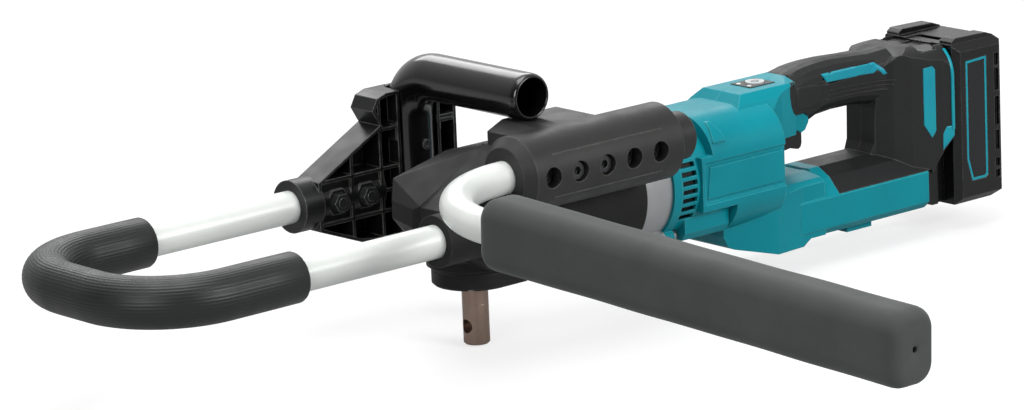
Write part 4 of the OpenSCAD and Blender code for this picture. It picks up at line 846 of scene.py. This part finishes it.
@dataclass
class CarrySide:
    """The ribbed side bracket with its bolts and the carry tube."""

    x: float = 31.0
    leg_y: float = 105.0
    foot_z: float = 87.0
    level_z: float = 188.0
    open_y: float = -39.0
    bend: float = 34.0
    step: float = 2.5
    radius: float = 18.0
    bore: float = 15.8
    sides: int = 72
    lip: Outline = ((7.0, 0.0), (5.0, 0.06), (3.2, 0.3), (1.8, 0.8), (0.8, 1.4), (0.2, 2.1), (0.0, 2.7),
                    (0.25, 3.2), (1.0, 3.55), (3.0, 3.6), (10.0, 3.6), (14.0, 2.2))

    def tube(self) -> None:
        """Builds the carry tube with its wide rounded lip."""
        row = rounded_path([(self.x, self.leg_y, self.foot_z), (self.x, self.leg_y, self.level_z),
                            (self.x, self.open_y, self.level_z)], self.bend, self.step)
        stations: list[Station] = [(place, way, self.radius, 0.0) for place, way in row[:-1]]
        end, way = row[-1]
        stations += [(end - way * back, way, self.radius - drop, 0.0) for back, drop in self.lip]
        stations += [(place, along, self.bore, 0.0) for place, along in reversed(row[:-1:2])]
        piece = make_piece("carry_tube_skin", swept(stations, (1, 0, 0), self.sides), Finishes.GLOSS, sharp=70)
        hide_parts("carry_tube")

    def build(self) -> None:
        """Builds the tube and dresses the bracket."""
        self.tube()
        dress(Finishes.BRACKET, "side_bracket")
        dress(Finishes.OXIDE, "bracket_bolts", "bracket_nuts", "carry_screw")


@dataclass
class MotorBody:
    """The motor with its teal shell, cooling slots, control panel and power button."""

    axis_z: float = 92.0
    shade_ring_x: Flat = (171.5, 190.0)
    shade_ring_r: Flat = (40.8, 41.6)
    button_x: float = 293.5
    button_z: float = 148.6
    sign_z: Flat = (-0.1, 0.18)
    sign_r: Flat = (2.4, 3.2)
    sign_gap: float = 35.0
    sign_steps: int = 40
    stroke_x: Flat = (-3.9, -0.9)
    stroke_half: float = 0.4
    lens_x: float = 281.8
    lens_y: Flat = (-6.0, 6.0)
    lens_z: float = 147.85
    lens: Outline = ((0, 1.9), (0.25, 1.85), (0.45, 1.4), (0.5, 0.6))
    plate: Outline = ((196.6, 79.2), (276.6, 79.2), (276.6, 104.8), (199.6, 104.8))
    plate_y: Flat = (46.3, 47.5)
    plate_bevel: float = 0.9
    screws: Outline = ((222.0, 122.0), (268.0, 118.0), (262.0, 60.0), (318.0, 46.0), (420.0, 46.0))

    def shade_ring(self) -> None:
        """Builds the dark ring that closes the view through the cooling slots: painted shade, standing in for the
        shaded inside of the motor.
        """
        (low, high), (inside, outside) = self.shade_ring_x, self.shade_ring_r
        profile = [(low, outside), (high, outside), (high, inside), (low, inside)]
        # A dark ring put where the inside is only in shade: painted shade.
        make_piece("vent_shade_ring", turned(profile, (0, 0, self.axis_z), (1, 0, 0), ROUND, ring=True), Finishes.INNER)

    def symbol(self) -> None:
        """Builds the plain switch-on sign of the button: an open ring and a stroke."""
        z0, z1 = (self.button_z + up for up in self.sign_z)
        r0, r1 = self.sign_r
        rows = []
        for k in range(self.sign_steps + 1):
            a = math.radians(self.sign_gap + (360 - 2 * self.sign_gap) * k / self.sign_steps)
            rows.append([(self.button_x - r * math.cos(a), r * math.sin(a), z)
                         for r, z in ((r0, z0), (r0, z1), (r1, z1), (r1, z0))])
        make_piece("button_sign_ring", lofted(rows), Finishes.PANEL, "power_button", sharp=30)
        x0, x1 = (self.button_x + x for x in self.stroke_x)
        h = self.stroke_half
        box = [[(x, y, z) for x, y in ((x0, -h), (x1, -h), (x1, h), (x0, h))] for z in (z0, z1)]
        make_piece("button_sign_stroke", lofted(box), Finishes.PANEL, "power_button", smooth=False)

    def lamps(self) -> None:
        """Builds the two small lenses on the control panel."""
        for n, y in enumerate(self.lens_y):
            shape = turned(self.lens, (self.lens_x, y, self.lens_z), (0, 0, 1), sides=24)
            make_piece(f"panel_lens_{n + 1}", shape, Finishes.LENS)

    def side_plate(self) -> None:
        """Builds the bare raised plate in the recess of the shell's near side."""
        shape = near_plate(self.plate, *self.plate_y, self.plate_bevel)
        make_piece("side_plate", shape, Finishes.TEAL, smooth=False)

    def shell_screws(self) -> None:
        """Builds the screws that join the shell halves, on the far side."""
        skin = Skin("shell_left")
        for n, (x, z) in enumerate(self.screws):
            screw_on(f"shell_screw_{n + 1}", skin, x, z, Side.FAR)

    def build(self) -> None:
        """Builds the small pieces and dresses the nodes."""
        self.shade_ring()
        self.symbol()
        self.lamps()
        self.side_plate()
        self.shell_screws()
        dress(Finishes.TEAL, "motor_housing", "shell_right", "shell_left")
        dress(Finishes.PANEL, "control_panel")
        dress(Finishes.BUTTON, "power_button")
        dress(Finishes.STEEL, "motor_screws", "rotor", "rotor_bearings")
        dress(Finishes.WINDING, "stator")
        dress(Finishes.INNER, "fan")


@dataclass
class RearHandle:
    """The black rear handle with its inlays, ribbed sides, teal rims, trigger and inner electrics."""

    inlay: Outline = ((348.0, 147.0), (353.6, 139.6), (404.5, 138.4), (409.0, 140.4), (413.6, 135.6),
                      (416.4, 136.4), (414.5, 140.0), (407.0, 146.4))
    inlay_sheet: Sheet = Sheet(0.45, 1.2, 2.5, 0.7)
    rib_rows: tuple[tuple[Flat, Flat], ...] = (((356.0, 132.6), (422.0, 130.6)), ((355.0, 129.2), (420.0, 127.2)),
                                               ((353.5, 125.8), (416.0, 123.8)))
    rib_wide: float = 1.5
    rib_point: float = 1.0
    rib_sheet: Sheet = Sheet(0.6, 0.5, 3.0, 0.6)
    collar: Outline = ((318.0, 123.5), (341.5, 122.2), (350.0, 133.0), (348.5, 138.5), (335.5, 140.8),
                       (319.0, 141.2))
    collar_sheet: Sheet = Sheet(0.5, 0.6, 3.0, 0.8)
    cuff: Outline = ((315.9, 147.2), (311.2, 147.2), (309.4, 143.5), (309.2, 136.0), (310.6, 129.0),
                     (313.0, 123.0), (315.9, 120.4))
    cuff_sheet: Sheet = Sheet(0.45, 0.6, 3.0, 0.6)
    tab: Outline = ((462.4, 67.8), (462.6, 80.5), (465.6, 86.4), (471.8, 87.4), (471.8, 79.0), (466.4, 72.0))
    tab_sheet: Sheet = Sheet(0.55, 0.6, 2.0, 0.6)
    tab_screw: Xyz = (467.2, 79.6, 2.8)
    rim_x: Flat = (469.4, 472.3)
    rim_lift: Xyz = (-0.8, 0.3, 0.55)
    rim_slope: float = 0.5
    rim_half: float = 41.0
    rim_top: float = 153.0
    rim_low: float = 84.0
    rim_open: float = 30.6
    rim_corner: float = 27.0
    rim_steps: tuple[int, int] = (11, 18)
    column_middle: float = 94.5
    column_tall: float = 120.0

    def inlays(self) -> None:
        """Builds the two teal inlays of the grip, laid on its curved sides."""
        for side in Side:
            shape = Skin("handle_" + side.half, "grip_inlays").patch(self.inlay, side, self.inlay_sheet)
            piece = make_piece("grip_inlay_" + side.word, shape, Finishes.TEAL_TRIM, sharp=40)
            if side is Side.NEAR:
                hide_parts("grip_inlays")

    def ribs(self) -> None:
        """Builds the long raised ribs on both sides of the grip."""
        w, tip = self.rib_wide / 2, self.rib_point
        for side in Side:
            skin = Skin("handle_" + side.half)
            for n, ((x0, z0), (x1, z1)) in enumerate(self.rib_rows):
                outline = [(x0, z0 - w), (x1, z1 - w), (x1 + tip, z1), (x1, z1 + w), (x0, z0 + w), (x0 - tip, z0)]
                shape = skin.patch(outline, side, self.rib_sheet)
                make_piece(f"grip_rib_{side.word}_{n + 1}", shape, Finishes.ELASTOMER, sharp=50)

    def cuffs(self) -> None:
        """Builds the raised collar at the grip's front and the black lip that laps over the teal shell."""
        for side in Side:
            shape = Skin("handle_" + side.half).patch(self.collar, side, self.collar_sheet)
            make_piece("grip_collar_" + side.word, shape, Finishes.ELASTOMER, sharp=40)
            shape = Skin("shell_" + side.half).patch(self.cuff, side, self.cuff_sheet)
            make_piece("grip_cuff_" + side.word, shape, Finishes.ELASTOMER, sharp=40)

    def rims(self) -> None:
        """Builds the thin teal rims round the rear edge of the column, clear of the battery's way up."""
        half, r = self.rim_half, self.rim_corner
        bend_z = self.column_middle + self.column_tall / 2 - r
        straight, bent = self.rim_steps
        row: list[Flat] = [(half, self.rim_low + (bend_z - self.rim_low) * k / straight) for k in range(straight + 1)]
        for k in range(1, bent + 1):
            a = math.pi / 2 * k / bent
            row.append((half - r + r * math.cos(a), min(self.rim_top, bend_z + r * math.sin(a))))
        row = [place for place in row if place[0] >= self.rim_open]
        (x0, x1), slope = self.rim_x, self.rim_slope
        foot, shoulder, crown = self.rim_lift
        section = ((x0, foot), (x0, shoulder), (x0 + slope, crown), (x1 - slope, crown), (x1, shoulder), (x1, foot))
        last = len(row) - 1
        ways = [(Vector(row[min(last, n + 1)]) - Vector(row[max(0, n - 1)])).normalized() for n in range(last + 1)]
        for side in Side:
            rows = [[(x, side.value * (y + way.y * lift), z - way.x * lift) for x, lift in section]
                    for (y, z), way in zip(row, ways)]
            make_piece("column_rim_" + side.word, lofted(rows), Finishes.TEAL_TRIM, sharp=40)

    def tabs(self) -> None:
        """Builds the teal tabs low on the column, each with its screw."""
        x, z, radius = self.tab_screw
        for side in Side:
            skin = Skin("handle_" + side.half)
            shape = skin.patch(self.tab, side, self.tab_sheet)
            make_piece("column_tab_" + side.word, shape, Finishes.TEAL_TRIM, sharp=40)
            screw_on("column_screw_" + side.word, skin, x, z, side, radius)

    def build(self) -> None:
        """Builds the trims and dresses the nodes."""
        self.inlays()
        self.ribs()
        self.cuffs()
        self.rims()
        self.tabs()
        dress(Finishes.ELASTOMER, "handle_right", "handle_left")
        dress(Finishes.TEAL_TRIM, "column_inlays")
        dress(Finishes.PANEL, "trigger")
        dress(Finishes.INNER, "switch_unit", "terminal_block")
        dress(Finishes.CASE, "controller")


@dataclass
class Battery:
    """The battery with its bare side panel, cells and latch."""

    front: float = 474.0
    low: float = 20.5
    high: float = 151.0
    floor: float = 41.5
    border: float = 2.4
    border_gap: float = 0.3
    border_proud: float = 0.4
    border_bevel: float = 0.15
    panel_gap: float = 0.1
    panel_proud: float = 0.28
    panel_bevel: float = 0.12

    def outline(self) -> list[Flat]:
        """Gives the outline of the shallow recess in the case's side."""
        f, z0, z1 = self.front, self.low, self.high
        return [(f + 10.5, z1 - 14), (f + 34.5, z1 - 13), (f + 34.5, z0 + 20), (f + 31.5, z0 + 17.5),
                (f + 16, z0 + 17.5), (f + 10.5, z0 + 36)]

    def panel(self) -> None:
        """Builds the bare panel with a teal border in the near side of the case."""
        outer, inner = shrunk(self.outline(), self.border_gap), shrunk(self.outline(), self.border)
        shape = near_plate(outer, self.floor, self.floor + self.border_proud, self.border_bevel, inner)
        make_piece("battery_border", shape, Finishes.TEAL_TRIM, "battery", smooth=False)
        shape = near_plate(shrunk(inner, self.panel_gap), self.floor, self.floor + self.panel_proud, self.panel_bevel)
        make_piece("battery_panel", shape, Finishes.BARE, "battery", smooth=False)

    def build(self) -> None:
        """Builds the bare panel and dresses the nodes."""
        self.panel()
        dress(Finishes.BATTERY, "battery_case", "battery_cover", "battery_latch")
        dress(Finishes.CELL, "battery_cells")


@dataclass(frozen=True)
class SoftBox:
    """A soft lamp: its name, its place, what it faces, its two sides in metres and its power in watts."""

    name: str
    place: Xyz
    aim: Xyz
    size: Flat
    power: float


@dataclass
class Studio:
    """The pale floor, soft lights and the camera at the photograph's angle."""

    turn: float = -40.5
    rise: float = 13.8
    roll: float = -2.44
    focal_px: float = 5200.0
    px_per_mm: float = 1.335
    origin_px: Flat = (477.1, 342.3)
    frame_px: Flat = (1024.0, 410.0)
    sensor_mm: float = 36.0
    clip: Flat = (0.1, 60.0)
    air: float = 0.22
    gloss_air: Flat = (0.06, 0.75)
    gloss_fade: Flat = (-0.2, 0.7)
    bright_way: Xyz = (0.6, 0.7, 0.38)
    floor_z: float = -0.0015
    floor_half: float = 40.0
    floor_tones: tuple[Rgb, Rgb] = ((0.32, 0.32, 0.32), (0.31, 0.31, 0.312))
    floor_cloud_mm: float = 900.0
    floor_cloud_span: Flat = (0.35, 0.65)
    floor_rough: float = 0.9
    floor_reach: Flat = (1.5, 7.0)
    floor_glow: Flat = (0.72, 0.98)
    floor_gloss: float = 0.25
    boxes: tuple[SoftBox, ...] = (
        SoftBox("key_box", (-0.3, 0.1, 2.8), (0.1, -0.1, 0.1), (2.4, 1.8), 62.0),
        SoftBox("left_box", (-2.9, -1.3, 1.3), (0.0, -0.1, 0.1), (1.2, 1.6), 40.0),
        SoftBox("front_box", (0.9, -3.0, 1.5), (0.2, -0.1, 0.1), (1.8, 1.2), 72.0),
        SoftBox("back_box", (1.4, 2.3, 2.0), (0.1, 0.0, 0.1), (2.4, 1.2), 34.0),
    )

    def camera(self) -> None:
        """Makes the long-lens camera."""
        a, e, r = (math.radians(v) for v in (self.turn, self.rise, self.roll))
        right = Vector((math.cos(a), math.sin(a), 0))
        ahead = Vector((-math.sin(a) * math.cos(e), math.cos(a) * math.cos(e), -math.sin(e)))
        up = right.cross(ahead)
        across = right * math.cos(r) + up * math.sin(r)
        above = -right * math.sin(r) + up * math.cos(r)
        x0 = (self.origin_px[0] - self.frame_px[0] / 2) / self.px_per_mm
        y0 = -(self.origin_px[1] - self.frame_px[1] / 2) / self.px_per_mm
        place = -(ahead * self.focal_px / self.px_per_mm + across * x0 + above * y0) * MM
        data = bpy.data.cameras.new("photo_camera")
        data.sensor_width = self.sensor_mm
        data.sensor_fit = "HORIZONTAL"
        data.lens = self.sensor_mm * self.focal_px / self.frame_px[0]
        data.clip_start, data.clip_end = self.clip
        camera = bpy.data.objects.new("photo_camera", data)
        bpy.context.collection.objects.link(camera)
        turn = Matrix((across, above, -ahead)).transposed()
        camera.matrix_world = Matrix.Translation(place) @ turn.to_4x4()
        bpy.context.scene.camera = camera

    def lamps(self) -> None:
        """Hangs the soft boxes."""
        for box in self.boxes:
            data = bpy.data.lights.new(box.name, "AREA")
            data.shape = "RECTANGLE"
            data.size, data.size_y = box.size
            data.energy = box.power
            lamp = bpy.data.objects.new(box.name, data)
            bpy.context.collection.objects.link(lamp)
            lamp.location = box.place
            lamp.rotation_euler = (Vector(box.aim) - Vector(box.place)).to_track_quat("-Z", "Y").to_euler()

    def world(self) -> None:
        """Makes a soft surround: plain white where it is seen, and fading to grey behind the camera in gloss."""
        world = bpy.data.worlds.new("studio_air")
        bpy.context.scene.world = world
        g = Graph(world)
        seen, glossy = g.rays()
        facing = g.vector("DOT_PRODUCT", g.coords["Generated"], self.bright_way)["Value"]
        light = g.mix(glossy, self.air, g.span(facing, self.gloss_fade, self.gloss_air))
        air = g.add("Background", Color=WHITE, Strength=g.mix(seen, light, 1.0))
        g.add("OutputWorld", Surface=air.outputs[0])

    def floor(self) -> None:
        """Lays the pale floor, which glows for the eye and keeps a soft shadow."""
        g = Graph(bpy.data.materials.new("pale_floor"))
        clouds = g.span(g.noise(self.floor_cloud_mm, 3), self.floor_cloud_span)
        seen, glossy = g.rays()
        shown = g.combine("MAXIMUM", seen, g.combine("MULTIPLY", glossy, self.floor_gloss))
        away = g.vector("LENGTH", g.coords["Object"])["Value"]
        g.surface({
            "Base Color": g.mix(clouds, *self.floor_tones),
            "Roughness": self.floor_rough,
            "Specular IOR Level": 0.0,
            "Emission Color": WHITE,
            "Emission Strength": g.combine("MULTIPLY", shown, g.span(away, self.floor_reach, self.floor_glow)),
        })
        h, z = self.floor_half, self.floor_z
        mesh = bpy.data.meshes.new("pale_floor")
        mesh.from_pydata([(-h, -h, z), (h, -h, z), (h, h, z), (-h, h, z)], [], [(0, 1, 2, 3)])
        mesh.materials.append(g.owner)
        floor = bpy.data.objects.new("pale_floor", mesh)
        bpy.context.collection.objects.link(floor)

    def build(self) -> None:
        """Sets up the studio."""
        self.camera()
        self.lamps()
        self.world()
        self.floor()
        bpy.context.scene.view_settings.view_transform = "Standard"


def main() -> None:
    """Builds the studio and every sub-assembly."""
    logging.basicConfig(level=logging.INFO, format="%(name)s: %(message)s")
    for part in (Studio(), FrontLoop(), ReactionBar(), GearHead(), CarrySide(), MotorBody(), RearHandle(), Battery()):
        LOG.info("building %s", type(part).__name__)
        part.build()


if __name__ == "__main__":
    main()
